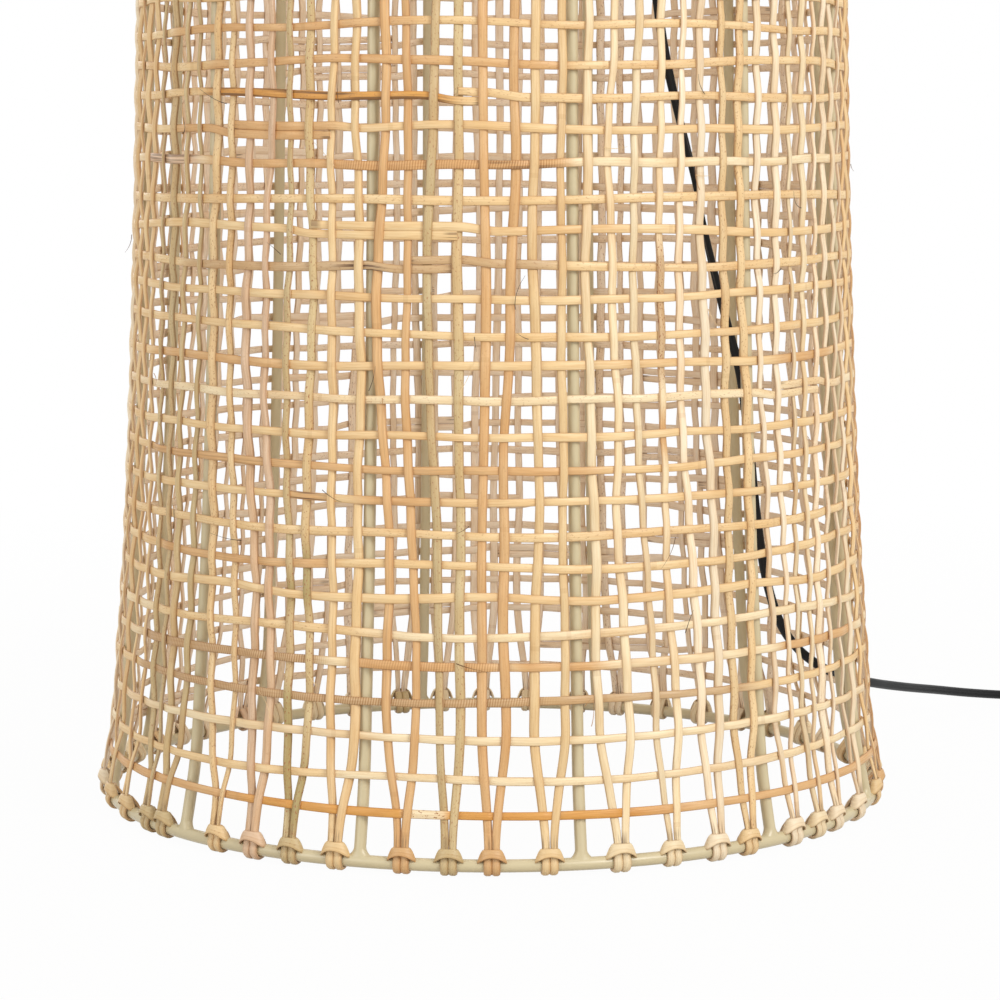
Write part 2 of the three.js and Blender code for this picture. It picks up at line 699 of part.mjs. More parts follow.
// The least distance between the corners of two sections that are at least half a turn apart.
function leastSelfGap(geometry, sides) {
  const place = geometry.getAttribute("position");
  const corners = [];
  for (let i = 0; i < place.count; i += 1) {
    corners.push(new THREE.Vector3().fromBufferAttribute(place, i));
  }
  const apart = (LOOP_STEPS / 2) * sides;
  let least = Infinity;
  corners.forEach((corner, i) => {
    for (const other of corners.slice(i + apart)) least = Math.min(least, corner.distanceTo(other));
  });
  return least;
}

function buildCoil(start) {
  const { points, middle } = coilPoints(start);
  const outline = cordOutline(1);
  const geometry = sweptTube(outline, points, levelWidths(points));
  add("cord_coil", geometry, finishes.blackCord);
  const gap = leastSelfGap(geometry, outline.length);
  buildTie(middle);
  return { end: points.at(-1), length: lengthOf(points), gap };
}

// A flat band round the coil's bundle, on the side towards the lamp.
function buildTie(middle) {
  const least = COIL_RADIUS - (turnPitch * COIL_TURNS) / 2;
  const near = least - CORD_WIDTH / 2 - TIE_SLACK;
  const far = COIL_RADIUS + CORD_WIDTH / 2;
  const height = 2 * TIE_THICK + 2 * FIT + CORD_THICK + layerRise;
  const outside = new THREE.Shape();
  const rectangle = (path, x0, x1, y0, y1) => {
    path.moveTo(x0, y0).lineTo(x1, y0).lineTo(x1, y1).lineTo(x0, y1).closePath();
    return path;
  };
  rectangle(outside, near - TIE_THICK, far + TIE_THICK, 0, height);
  outside.holes.push(rectangle(new THREE.Path(), near, far, TIE_THICK, height - TIE_THICK));
  const band = extruded(outside, TIE_WIDTH).translate(0, 0, -TIE_WIDTH / 2).rotateX(FULL_TURN / 4);
  const tie = add("cord_tie", band, finishes.blackPlastic);
  tie.rotation.z = FULL_TURN / 2;
  tie.position.set(middle.x, middle.y, 0);
}

// The plug lies flat, with its pins pointing back along -X.
function buildPlug(cordEnd) {
  const unit = new THREE.Group();
  unit.position.set(cordEnd.x - FIT, cordEnd.y, cordEnd.z);
  unit.rotation.z = FULL_TURN / 2;
  lamp.add(unit);
  const plugRelief = relief(PLUG_RELIEF_LENGTH, RELIEF_END_RADIUS, PLUG_RELIEF_RADIUS);
  add("plug_relief", plugRelief, finishes.blackPlastic, unit);
  const back = PLUG_RELIEF_LENGTH + FIT;
  const [waist, shoulder] = PLUG_WAIST_SHARES.map((share) => share * PLUG_LENGTH);
  const half = [
    [PLUG_LENGTH, PLUG_WIDTH / 2],
    [shoulder, PLUG_WIDTH / 2],
    [waist, PLUG_WAIST_WIDTH / 2],
    [0, PLUG_BACK_WIDTH / 2],
  ];
  const outline = [...half, ...half.map(([x, y]) => [x, -y]).reverse()];
  const body = add("plug_body", extruded(shapeOf(outline), PLUG_THICK), finishes.blackPlastic, unit);
  body.position.set(back, 0, -PLUG_THICK / 2);
  [-1, 1].forEach((side, i) => {
    const pin = new THREE.CylinderGeometry(PIN_RADIUS, PIN_RADIUS, PIN_LENGTH, BAR_SIDES);
    const mesh = add(numbered("plug_pin", i), pin.rotateZ(FULL_TURN / 4), finishes.nickel, unit);
    mesh.position.set(back + PLUG_LENGTH + FIT + PIN_LENGTH / 2, (side * PIN_SPACING) / 2, 0);
  });
}

buildCover();
buildCage();
buildSpider();
buildNippleAndGrip();
buildLampholder();
buildBulb();
const dropLength = buildLampCord();
const coil = buildCoil(buildSwitch());
buildPlug(coil.end);
console.log(`cord from grip to switch ${dropLength.toFixed(0)} mm`);
console.log(`cord from switch to plug ${coil.length.toFixed(0)} mm`);
console.log(`least gap of the coil to itself ${coil.gap.toFixed(2)} mm`);

export default lamp;
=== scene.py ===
"""A tall open-weave rattan floor lamp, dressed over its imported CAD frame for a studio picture.

A cage of painted steel rod carries a cover woven of natural cane. A lampholder and bulb stand on a
spider inside it, and a flat black cord runs down and out to a foot switch, a tied coil and a plug.
Metres, +Z up, the viewer at -Y.
"""

import logging
import math
from collections.abc import Callable, Sequence
from dataclasses import dataclass, field
from enum import Enum
from functools import cache, partial

import bmesh
import bpy
import numpy as np
from bmesh.types import BMesh, BMVert
from bpy.types import GeometryNodeTree, Material, Mesh, Node, NodeSocket, NodeTree, Object
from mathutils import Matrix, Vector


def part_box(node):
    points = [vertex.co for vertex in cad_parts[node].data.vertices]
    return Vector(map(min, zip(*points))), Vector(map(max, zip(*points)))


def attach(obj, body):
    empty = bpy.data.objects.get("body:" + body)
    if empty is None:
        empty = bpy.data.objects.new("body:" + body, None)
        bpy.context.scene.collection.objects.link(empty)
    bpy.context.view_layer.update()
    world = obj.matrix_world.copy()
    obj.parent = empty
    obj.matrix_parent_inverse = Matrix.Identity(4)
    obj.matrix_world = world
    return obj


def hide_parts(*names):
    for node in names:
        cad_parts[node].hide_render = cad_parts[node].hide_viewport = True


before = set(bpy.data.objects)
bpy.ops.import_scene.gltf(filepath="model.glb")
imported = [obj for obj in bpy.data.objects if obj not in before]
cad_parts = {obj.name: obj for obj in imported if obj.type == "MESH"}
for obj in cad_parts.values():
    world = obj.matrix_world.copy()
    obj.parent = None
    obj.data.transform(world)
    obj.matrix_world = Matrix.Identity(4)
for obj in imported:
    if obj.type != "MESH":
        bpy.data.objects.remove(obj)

MM = 0.001
TURN = 2 * math.pi
SEED = 2112
NO_SIZE = 1e-7  # a radius that counts as none

# Sockets of a Mix node that is set to colours
MIX_A, MIX_B, MIX_OUT = 6, 7, 2

# Numbers for a row of points, or one for all of them, then pairs such as the corners of a section
Array = np.ndarray
Values = Array | float
Pair = tuple[float, float]
Point = tuple[float, float, float]
Outline = Sequence[Pair]
# What can feed a node's input, and what adds nodes to one tree
Feed = Node | NodeSocket
Adder = Callable[..., Node]

log = logging.getLogger("lamp")


def linear(code: str) -> tuple[float, float, float, float]:
    """Turns an sRGB hex colour into linear light.

    Args:
        code: the colour as "#rrggbb".

    Returns:
        Red, green, blue and an alpha of 1.
    """
    channels = [int(code[i : i + 2], 16) / 255 for i in (1, 3, 5)]
    red, green, blue = (c / 12.92 if c <= 0.04045 else ((c + 0.055) / 1.055) ** 2.4 for c in channels)
    return red, green, blue, 1.0


def add_node(
    tree: NodeTree, kind: str, inputs: dict[str | int, object] | None = None, **settings: object
) -> Node:
    """Adds a node with its settings and links.

    Args:
        tree: the tree that gets the node.
        kind: the node's type.
        inputs: what each input gets, by its name or number, as for feed.
        settings: the node's own properties.

    Returns:
        The new node.
    """
    node = tree.nodes.new(kind)
    for name, value in settings.items():
        setattr(node, name, value)
    feed(node, inputs or {})
    return node


def feed(node: Node, inputs: dict[str | int, object]) -> None:
    """Gives a node's inputs their values and links.

    Args:
        node: the node.
        inputs: for each input a value, an output, or a node whose first output feeds it.
    """
    for name, value in inputs.items():
        if isinstance(value, Node):
            value = value.outputs[0]
        if isinstance(value, NodeSocket):
            node.id_data.links.new(value, node.inputs[name])
        else:
            node.inputs[name].default_value = value


def eased(share: Values) -> Array:
    """Eases a share from 0 to 1, flat at both ends."""
    t = np.clip(share, 0, 1)
    return t * t * (3 - 2 * t)


def around(angle: Values, reach: Values, height: Values) -> Array:
    """Places points about the lamp's axis.

    Args:
        angle: their angles from +X.
        reach: their distances from the axis.
        height: their heights.

    Returns:
        A row of X, Y and Z for each point.
    """
    return np.column_stack(np.broadcast_arrays(reach * np.cos(angle), reach * np.sin(angle), height))


def steps_round(count: int) -> Array:
    """Returns the angles of even steps round a circle."""
    return np.arange(count) * TURN / count


# Finishes


def new_material(name: str) -> tuple[Material, Adder, Node]:
    """Makes a material with its one shader.

    Args:
        name: its name.

    Returns:
        The material, what adds nodes to it, and its shader.
    """
    material = bpy.data.materials.new(name)
    material.use_nodes = True
    tree = material.node_tree
    return material, partial(add_node, tree), tree.nodes["Principled BSDF"]


@dataclass(frozen=True)
class Finish:
    """A plain finish whose colour, gloss and surface vary a little in real sizes."""

    name: str
    colour: str
    roughness: float
    metallic: float = 0.0
    specular: float = 0.5
    shade: str = "#808080"
    drift: float = 0.08
    drift_size: float = 30 * MM
    drift_band: Pair = (0.35, 0.75)  # the part of the noise that is spread to 0 and 1
    gloss_drift: float = 0.12
    gloss_band: Pair = (0.3, 0.7)
    bump_size: float = 0.8 * MM
    bump_depth: float = 0.03 * MM

    def material(self) -> Material:
        """Builds the material.

        Returns:
            A material on Object coordinates.
        """
        material, add, shader = new_material(self.name)
        place = add("ShaderNodeTexCoord").outputs["Object"]
        drift = add("ShaderNodeTexNoise", {"Vector": place, "Scale": 1 / self.drift_size, "Detail": 4.0})
        low, high = self.drift_band
        share = add(
            "ShaderNodeMapRange",
            {"Value": drift, "From Min": low, "From Max": high, "To Max": self.drift},
        )
        colour = add(
            "ShaderNodeMix", {0: share, MIX_A: linear(self.colour), MIX_B: linear(self.shade)},
            data_type="RGBA",
        )
        fine = add("ShaderNodeTexNoise", {"Vector": place, "Scale": 1 / self.bump_size, "Detail": 2.0})
        low, high = self.gloss_band
        gloss = add(
            "ShaderNodeMapRange",
            {"Value": drift, "From Min": low, "From Max": high,
             "To Min": self.roughness * (1 - self.gloss_drift),
             "To Max": self.roughness * (1 + self.gloss_drift)},
        )
        bump = add("ShaderNodeBump", {"Height": fine, "Distance": self.bump_depth, "Strength": 1.0})
        feed(
            shader,
            {"Base Color": colour.outputs[MIX_OUT], "Roughness": gloss, "Normal": bump,
             "Metallic": self.metallic, "Specular IOR Level": self.specular},
        )
        return material


@dataclass(frozen=True)
class PeeledCane:
    """Peeled and split rattan, unvarnished: long fibres under a drifting tone, with specks and nodes.
    Its edges are darker: partly the skin left on them, partly painted shade where the sides turn away.

    The side that faced the pith is paler and a little pink, and it is drawn paler still as painted
    light on the canes' inner faces, which lie in shade.

    It reads what each cane carries: its tint, how far along it a point lies, where in the cane's
    section, and its marks, which are specks, ribs and dark streaks; on the stakes' lowest points
    those streaks are painted shade.
    """

    name: str = "Rattan_cane_peeled"
    fibre_length: float = 14 * MM
    fibre_width: float = 0.7 * MM  # coarser than the real fibres, so that they show in the picture
    tone_length: float = 55 * MM
    tone_width: float = 12 * MM
    speck_size: float = 0.75 * MM
    rib_pitch: float = 1.3 * MM
    rib_height: float = 0.4  # against the fibres' own height
    rib_slant: float = 9 * MM  # how far across the cane a rib goes while it shifts by one pitch
    rib_wander: float = 3.0  # how far the drifting tone shifts the ribs, in radians
    streak_length: float = 60 * MM
    streak_width: float = 1.1 * MM
    node_spacing: float = 230 * MM
    node_width: float = 1.2 * MM
    # Where the pith side begins across a cane's thickness: its paler core, and painted light on the
    # shaded inner faces
    pith_and_light_start: float = -0.1 * MM
    pith_and_light_end: float = -0.4 * MM
    # Where a cane darkens towards its edges: partly the skin left there, partly painted shade
    edge_skin_and_shade_start: float = 1.6 * MM
    edge_skin_and_shade_end: float = 2.2 * MM
    roughness: float = 0.5
    bump_depth: float = 0.12 * MM

    def material(self) -> Material:
        """Builds the material.

        Returns:
            A material on the canes' own attributes.
        """
        material, add, shader = new_material(self.name)
        tint, marks, along, section = (
            add("ShaderNodeAttribute", attribute_name=name)
            for name in ("tint", "marks", "along", "section")
        )
        mark = add("ShaderNodeSeparateXYZ", {0: marks.outputs["Vector"]}).outputs
        across = add("ShaderNodeSeparateXYZ", {0: section.outputs["Vector"]}).outputs
        far = along.outputs["Fac"]
        run = add("ShaderNodeCombineXYZ", {"X": far, "Y": across["Y"], "Z": across["X"]})

        # The pith side: paler for the real core, and paler still as painted light on the canes' shaded
        # inner faces
        pith = add(
            "ShaderNodeMapRange",
            {"Value": across["X"], "From Min": self.pith_and_light_start, "From Max": self.pith_and_light_end},
        )
        colour = self._layer(add, tint.outputs["Color"], "#fdecd6", pith, 0.85)
        tone = self._noise(add, run, (self.tone_length, self.tone_width), (0.4, 0.7))
        colour = self._layer(add, colour, "#f0dab6", tone, 0.55, "MULTIPLY")
        fibre = self._noise(add, run, (self.fibre_length, self.fibre_width), (0.4, 0.75))
        colour = self._layer(add, colour, "#d3b184", fibre, 0.34, "MULTIPLY")
        speck = self._noise(add, run, (2 * self.speck_size, self.speck_size), (0.6, 0.68))
        colour = self._layer(add, colour, "#9c6237", speck, mark["X"])
        # Dark streaks, which the stakes' lowest points carry as painted shade
        streak_and_shade = self._noise(add, run, (self.streak_length, self.streak_width), (0.51, 0.59))
        colour = self._layer(add, colour, "#5b3a1c", streak_and_shade, mark["Z"])

        slant = add("ShaderNodeMath", {0: across["Y"], 1: TURN / self.rib_slant}, operation="MULTIPLY")
        uneven = add("ShaderNodeMath", {0: tone, 1: self.rib_wander, 2: slant}, operation="MULTIPLY_ADD")
        phase = add(
            "ShaderNodeMath", {0: far, 1: TURN / self.rib_pitch, 2: uneven}, operation="MULTIPLY_ADD"
        )
        wave = add("ShaderNodeMath", {0: phase}, operation="SINE")
        rib = add("ShaderNodeMapRange", {"Value": wave, "From Min": -0.6, "From Max": 1.0})
        broken = add("ShaderNodeMapRange", {"Value": tone, "To Min": 1.0, "To Max": 0.35})
        faded = add("ShaderNodeMath", {0: mark["Y"], 1: broken}, operation="MULTIPLY")
        colour = self._layer(add, colour, "#d2b389", rib, faded, "MULTIPLY")

        spans = add("ShaderNodeMath", {0: far, 1: self.node_spacing}, operation="DIVIDE")
        part = add("ShaderNodeMath", {0: spans}, operation="FRACT")
        ring = add(
            "ShaderNodeMath", {0: part, 1: 0.5, 2: self.node_width / self.node_spacing},
            operation="COMPARE",
        )
        colour = self._layer(add, colour, "#a9783f", ring, 0.16)
        # Darker edges: partly the skin left on split cane, partly painted shade on the sides that turn
        # from the light
        side = add("ShaderNodeMath", {0: across["Y"]}, operation="ABSOLUTE")
        edge = add(
            "ShaderNodeMapRange", {"Value": side, "From Min": self.edge_skin_and_shade_start, "From Max": self.edge_skin_and_shade_end}
        )
        colour = self._layer(add, colour, "#b98f5e", edge, 0.6, "MULTIPLY")

        gloss = add(
            "ShaderNodeMapRange",
            {"Value": fibre, "To Min": self.roughness - 0.06, "To Max": self.roughness + 0.14},
        )
        ribs = add("ShaderNodeMath", {0: rib, 1: faded}, operation="MULTIPLY")
        height = add("ShaderNodeMath", {0: ribs, 1: self.rib_height, 2: fibre}, operation="MULTIPLY_ADD")
        bump = add(
            "ShaderNodeBump", {"Height": height, "Distance": self.bump_depth, "Strength": 0.7},
            invert=True,
        )
        feed(shader, {"Base Color": colour, "Roughness": gloss, "Normal": bump})
        return material

    @staticmethod
    def _noise(add: Adder, run: Feed, size: Pair, band: Pair) -> Node:
        """Adds noise that is stretched along the cane.

        Args:
            add: what adds nodes to the material.
            run: the coordinates along and across the cane.
            size: how long and how wide its patches are.
            band: the part of the noise that goes from 0 to 1.

        Returns:
            The node that gives it, from 0 to 1.
        """
        length, width = size
        stretched = add(
            "ShaderNodeMapping", {"Vector": run, "Scale": (1 / length, 1 / width, 1 / width)}
        )
        noise = add("ShaderNodeTexNoise", {"Vector": stretched, "Scale": 1.0, "Detail": 2.0})
        low, high = band
        return add("ShaderNodeMapRange", {"Value": noise, "From Min": low, "From Max": high})

    @staticmethod
    def _layer(
        add: Adder, under: Feed, code: str, where: Feed, amount: float | Feed, blend: str = "MIX"
    ) -> NodeSocket:
        """Lays one colour over another.

        Args:
            add: what adds nodes to the material.
            under: the colour so far.
            code: the colour that goes over it.
            where: from 0 to 1 over the surface.
            amount: how strongly it shows where that is 1.
            blend: how the two mix.

        Returns:
            The mixed colour.
        """
        share = add("ShaderNodeMath", {0: where, 1: amount}, operation="MULTIPLY")
        mix = add(
            "ShaderNodeMix", {0: share, MIX_A: under, MIX_B: linear(code)}, data_type="RGBA",
            blend_type=blend,
        )
        return mix.outputs[MIX_OUT]


@dataclass(frozen=True)
class BlownGlass:
    """Clear blown soda glass: thin, smooth and colourless, with a faint waviness."""

    name: str = "Soda_glass_blown_clear"
    tint: str = "#f7fbf9"
    wave_size: float = 14 * MM
    wave_depth: float = 0.05 * MM
    roughness: float = 0.02
    ior: float = 1.5

    def material(self) -> Material:
        """Builds the material.

        Returns:
            A glass material on Object coordinates.
        """
        material, add, shader = new_material(self.name)
        place = add("ShaderNodeTexCoord").outputs["Object"]
        wave = add("ShaderNodeTexNoise", {"Vector": place, "Scale": 1 / self.wave_size})
        bump = add("ShaderNodeBump", {"Height": wave, "Distance": self.wave_depth, "Strength": 0.4})
        feed(
            shader,
            {"Base Color": linear(self.tint), "Roughness": self.roughness, "IOR": self.ior,
             "Transmission Weight": 1.0, "Normal": bump},
        )
        return material


AnyFinish = Finish | PeeledCane | BlownGlass

# Rattan, peeled and split by hand and left bare: matt, long-fibred, its tone drifting cream to honey
CANE = PeeledCane()
# Soda glass, blown in a mould: clear and thin, so that its edges and highlights alone show it
GLASS = BlownGlass()
# Mild steel rod under a sprayed and baked powder coat: even satin khaki cream with a faint orange peel
POWDER_COAT = Finish(
    "Mild_steel_powder_coated_cream", "#c8ba96", 0.32, shade="#b1a37c", drift=0.14, bump_size=1.6 * MM
)
# Steel, bright zinc plated in a barrel: a cool shine, slightly cloudy
ZINC = Finish("Steel_zinc_plated_bright", "#b9bcc0", 0.32, 1.0, shade="#8f9298", drift=0.3)
# Brass sheet, pressed and left bare: a warm shine with duller patches
BRASS = Finish("Brass_sheet_pressed", "#d0a85a", 0.3, 1.0, shade="#a57c34", drift=0.3)
# Brass, turned or drawn and nickel plated: bright, with a faint warmth
NICKEL = Finish("Brass_nickel_plated", "#cfccc4", 0.22, 1.0, shade="#a8a59c", drift=0.25)
# Steatite ceramic, pressed and glazed: milky white with a soft gloss
CERAMIC = Finish("Steatite_glazed_white", "#e9e4d8", 0.28, shade="#d8cfba", drift=0.2)
# Phenolic resin, moulded hot: deep black, a little brown, with a hard gloss
PHENOLIC = Finish("Phenolic_moulded_black", "#171616", 0.34, shade="#242120", drift=0.4)
# PVC, moulded in a spark-textured tool: even satin black; the texture is drawn coarser, to show
PVC = Finish("PVC_moulded_black_satin", "#161617", 0.46, shade="#222223", drift=0.4, bump_size=0.5 * MM)
# PVC filled with soot, extruded over the two cores: deep black, its long soft highlights faint
SHEATH = Finish(
    "PVC_sheath_extruded_black", "#0d0d0e", 0.44, specular=0.25, shade="#171718", drift=0.4,
    bump_size=0.6 * MM,
)
# Nylon band, woven and pressed flat: dull black
NYLON = Finish("Nylon_band_black", "#141415", 0.55, shade="#202021", drift=0.3)
# Phosphor powder bound in silicone round a filament strip: dull yellow
FILAMENT = Finish(
    "Phosphor_coated_filament", "#e8b23c", 0.6, shade="#d89a2a", drift=0.4, bump_size=0.4 * MM
)


@cache
def material_of(finish: AnyFinish) -> Material:
    """Returns the one material of a finish."""
    return finish.material()


# Shapes


@dataclass
class Strand:
    """One path with what the sweep needs at each of its points."""

    points: Array
    facing: Array
    girth: Values = 1.0
    tint: str | Array = "#ffffff"
    marks: Array | Point = (0.0, 0.0, 0.0)
    lead: float = 0.0
    closed: bool = False


def give(mesh: Mesh, name: str, values: Array) -> None:
    """Stores a number, a direction or a colour for each point of a mesh.

    Args:
        mesh: the mesh.
        name: the attribute's name.
        values: a row for each point.
    """
    rows = np.asarray(values, np.float32).reshape(len(mesh.vertices), -1)
    kinds = {1: ("FLOAT", "value"), 3: ("FLOAT_VECTOR", "vector"), 4: ("FLOAT_COLOR", "color")}
    kind, slot = kinds[rows.shape[1]]
    mesh.attributes.new(name, kind, "POINT").data.foreach_set(slot, rows.ravel())


def shown(name: str, data: bpy.types.ID) -> Object:
    """Puts a mesh, a curve, a light or a camera into the scene as an object at the origin.

    Args:
        name: the object's name.
        data: what it shows.

    Returns:
        The object.
    """
    thing = bpy.data.objects.new(name, data)
    bpy.context.scene.collection.objects.link(thing)
    return thing


def tree_with(name: str, sockets: dict[str, str]) -> GeometryNodeTree:
    """Makes an empty Geometry Nodes tree with its named inputs and one output.

    Args:
        name: the tree's name.
        sockets: the kind of each input by name, the first of them the geometry.

    Returns:
        The tree, with no nodes in it.
    """
    tree = bpy.data.node_groups.new(name, "GeometryNodeTree")
    for label, kind in sockets.items():
        tree.interface.new_socket(label, in_out="INPUT", socket_type="NodeSocket" + kind)
    tree.interface.new_socket("Result", in_out="OUTPUT", socket_type="NodeSocketGeometry")
    return tree


def finish_tree(add: Adder, result: Node, finish: NodeSocket) -> None:
    """Ends a tree: the faces are smoothed, the instances made real and the material set.

    Args:
        add: what adds nodes to the tree.
        result: the geometry so far.
        finish: the material.
    """
    smooth = add("GeometryNodeSetShadeSmooth", {"Geometry": result})
    real = add("GeometryNodeRealizeInstances", {"Geometry": smooth})
    dressed = add("GeometryNodeSetMaterial", {"Geometry": real, "Material": finish})
    add("NodeGroupOutput", {"Result": dressed})


def baked(name: str, source: Object, tree: GeometryNodeTree, values: dict[str, object]) -> Object:
    """Runs a tree on an object and keeps the result as a plain mesh.

    Args:
        name: the piece's name.
        source: the object that the tree works on, which is removed.
        tree: the tree.
        values: the tree's inputs by name.

    Returns:
        The new piece.
    """
    modifier = source.modifiers.new(tree.name, "NODES")
    modifier.node_group = tree
    for item in tree.interface.items_tree:
        if item.in_out == "INPUT" and item.name in values:
            modifier[item.identifier] = values[item.name]
    bpy.context.view_layer.update()
    graph = bpy.context.evaluated_depsgraph_get()
    mesh = bpy.data.meshes.new_from_object(
        source.evaluated_get(graph), preserve_all_data_layers=True, depsgraph=graph
    )
    source.modifiers.remove(modifier)
    bpy.data.objects.remove(source)
    for spare in ("facing", "girth", "turn"):
        if spare in mesh.attributes:
            mesh.attributes.remove(mesh.attributes[spare])
    mesh.name = name
    return shown(name, mesh)


class Sweep:
    """Sweeps a section along paths with Geometry Nodes: canes, rods, cords and threads."""

    def __init__(self) -> None:
        """Builds the tree."""
        self.tree = tree_with(
            "sweep", {"Paths": "Geometry", "Section": "Object", "Scale": "Float", "Finish": "Material"}
        )
        add = partial(add_node, self.tree)
        given = add("NodeGroupInput")
        facing = add("GeometryNodeInputNamedAttribute", {"Name": "facing"}, data_type="FLOAT_VECTOR")
        girth = add("GeometryNodeInputNamedAttribute", {"Name": "girth"}, data_type="FLOAT")
        curve = add("GeometryNodeMeshToCurve", {"Mesh": given.outputs["Paths"]})
        faced = add("GeometryNodeSetCurveNormal", {"Curve": curve, "Normal": facing}, mode="FREE")
        section = add("GeometryNodeObjectInfo", {"Object": given.outputs["Section"]})
        placed = add(
            "GeometryNodeStoreNamedAttribute",
            {"Geometry": section.outputs["Geometry"], "Name": "section",
             "Value": add("GeometryNodeInputPosition")}, data_type="FLOAT_VECTOR", domain="POINT",
        )
        scale = add("ShaderNodeMath", {0: girth, 1: given.outputs["Scale"]}, operation="MULTIPLY")
        swept = add(
            "GeometryNodeCurveToMesh",
            {"Curve": faced, "Profile Curve": placed, "Scale": scale, "Fill Caps": True},
        )
        finish_tree(add, swept, given.outputs["Finish"])

    def along(
        self, name: str, strands: Sequence[Strand], outline: Outline,
        finish: AnyFinish, scale: float = 1.0,
    ) -> Object:
        """Sweeps an outline along strands.

        Args:
            name: the piece's name.
            strands: the paths.
            outline: the section, anticlockwise, as pairs: how far it stands out, where it is across.
            finish: the finish.
            scale: a factor on the whole section.

        Returns:
            The new piece.
        """
        curve = bpy.data.curves.new("section", "CURVE")
        curve.dimensions = "3D"
        spline = curve.splines.new("POLY")
        spline.points.add(len(outline) - 1)
        for point, (out, across) in zip(spline.points, outline, strict=True):
            point.co = (out, across, 0, 1)
        spline.use_cyclic_u = True
        section = shown("section", curve)
        values = {"Section": section, "Scale": scale, "Finish": material_of(finish)}
        piece = baked(name, self._paths(name, strands), self.tree, values)
        bpy.data.objects.remove(section)
        return piece

    @staticmethod
    def _paths(name: str, strands: Sequence[Strand]) -> Object:
        """Makes a mesh of edges along the strands, with their values on its points.

        Args:
            name: the piece's name.
            strands: the paths.

        Returns:
            The mesh's object.
        """
        edges, alongs, girths, tints, marks, facings = [], [], [], [], [], []
        first = 0
        for strand in strands:
            count = len(strand.points)
            run = np.arange(first, first + count)
            edges.append(np.column_stack([run[:-1], run[1:]]))
            if strand.closed:
                edges.append([[run[-1], run[0]]])
            first += count
            steps = np.linalg.norm(np.diff(strand.points, axis=0), axis=1)
            alongs.append(strand.lead + np.concatenate([[0], np.cumsum(steps)]))
            girths.append(np.broadcast_to(strand.girth, count))
            tint = linear(strand.tint) if isinstance(strand.tint, str) else strand.tint
            tints.append(np.broadcast_to(tint, (count, 4)))
            marks.append(np.broadcast_to(strand.marks, (count, 3)))
            facings.append(square_to_run(strand))
        mesh = bpy.data.meshes.new(name + "_paths")
        mesh.from_pydata(
            np.vstack([s.points for s in strands]).tolist(), np.vstack(edges).astype(int).tolist(), []
        )
        give(mesh, "along", np.concatenate(alongs))
        give(mesh, "girth", np.concatenate(girths))
        give(mesh, "tint", np.vstack(tints))
        give(mesh, "marks", np.vstack(marks))
        give(mesh, "facing", np.vstack(facings))
        return shown(name + "_paths", mesh)


def square_to_run(strand: Strand) -> Array:
    """Turns a strand's facing directions square to its run.

    Args:
        strand: the strand.

    Returns:
        A unit direction for each of its points.
    """
    run = np.gradient(strand.points, axis=0)
    if strand.closed:
        run = np.roll(strand.points, -1, 0) - np.roll(strand.points, 1, 0)
    run /= np.linalg.norm(run, axis=1, keepdims=True)
    facing = np.broadcast_to(strand.facing, strand.points.shape)
    facing = facing - run * np.sum(facing * run, axis=1, keepdims=True)
    return facing / np.linalg.norm(facing, axis=1, keepdims=True)


class SetOut:
    """Sets copies of a small shape out on points with Geometry Nodes: knots and grip ribs."""

    def __init__(self) -> None:
        """Builds the tree."""
        self.tree = tree_with(
            "set_out", {"Points": "Geometry", "Shape": "Object", "Scale": "Float", "Finish": "Material"}
        )
        add = partial(add_node, self.tree)
        given = add("NodeGroupInput")
        turn = add("GeometryNodeInputNamedAttribute", {"Name": "turn"}, data_type="FLOAT")
        angles = add("ShaderNodeCombineXYZ", {"Z": turn})
        turned_to = add("FunctionNodeEulerToRotation", {0: angles})
        girth = add("GeometryNodeInputNamedAttribute", {"Name": "girth"}, data_type="FLOAT")
        size = add("ShaderNodeMath", {0: girth, 1: given.outputs["Scale"]}, operation="MULTIPLY")
        shape = add("GeometryNodeObjectInfo", {"Object": given.outputs["Shape"]})
        copies = add(
            "GeometryNodeInstanceOnPoints",
            {"Points": given.outputs["Points"], "Instance": shape.outputs["Geometry"],
             "Rotation": turned_to, "Scale": size},
        )
        finish_tree(add, copies, given.outputs["Finish"])

    def on(
        self, name: str, shape: Object, places: Array, turns: Array, finish: AnyFinish,
        sizes: Values = 1.0, tints: Array | None = None, marks: Array | None = None,
    ) -> Object:
        """Copies a shape to places, turned about +Z.

        Args:
            name: the piece's name.
            shape: the shape at the origin, which is removed.
            places: the points.
            turns: the angle of each copy.
            finish: the finish.
            sizes: the size of each copy against the shape's own.
            tints: a colour for each copy, where the finish takes one.
            marks: the marks of each copy, where the finish takes them.

        Returns:
            The new piece.
        """
        mesh = bpy.data.meshes.new(name + "_points")
        mesh.from_pydata(np.asarray(places).tolist(), [], [])
        give(mesh, "turn", turns)
        give(mesh, "girth", np.broadcast_to(sizes, len(turns)))
        if tints is not None:
            give(mesh, "tint", tints)
        if marks is not None:
            give(mesh, "marks", marks)
        source = shown(name + "_points", mesh)
        piece = baked(
            name, source, self.tree, {"Shape": shape, "Scale": 1.0, "Finish": material_of(finish)}
        )
        bpy.data.objects.remove(shape)
        return piece


def circle(radius: float, sides: int = 12) -> Outline:
    """Returns the points of a round section, anticlockwise."""
    return [(radius * math.cos(a), radius * math.sin(a)) for a in steps_round(sides)]


def mesh_of(name: str, build: BMesh) -> Mesh:
    """Turns a bmesh into a mesh.

    Args:
        name: the mesh's name.
        build: the bmesh, which is freed.

    Returns:
        The mesh.
    """
    mesh = bpy.data.meshes.new(name)
    build.to_mesh(mesh)
    build.free()
    return mesh


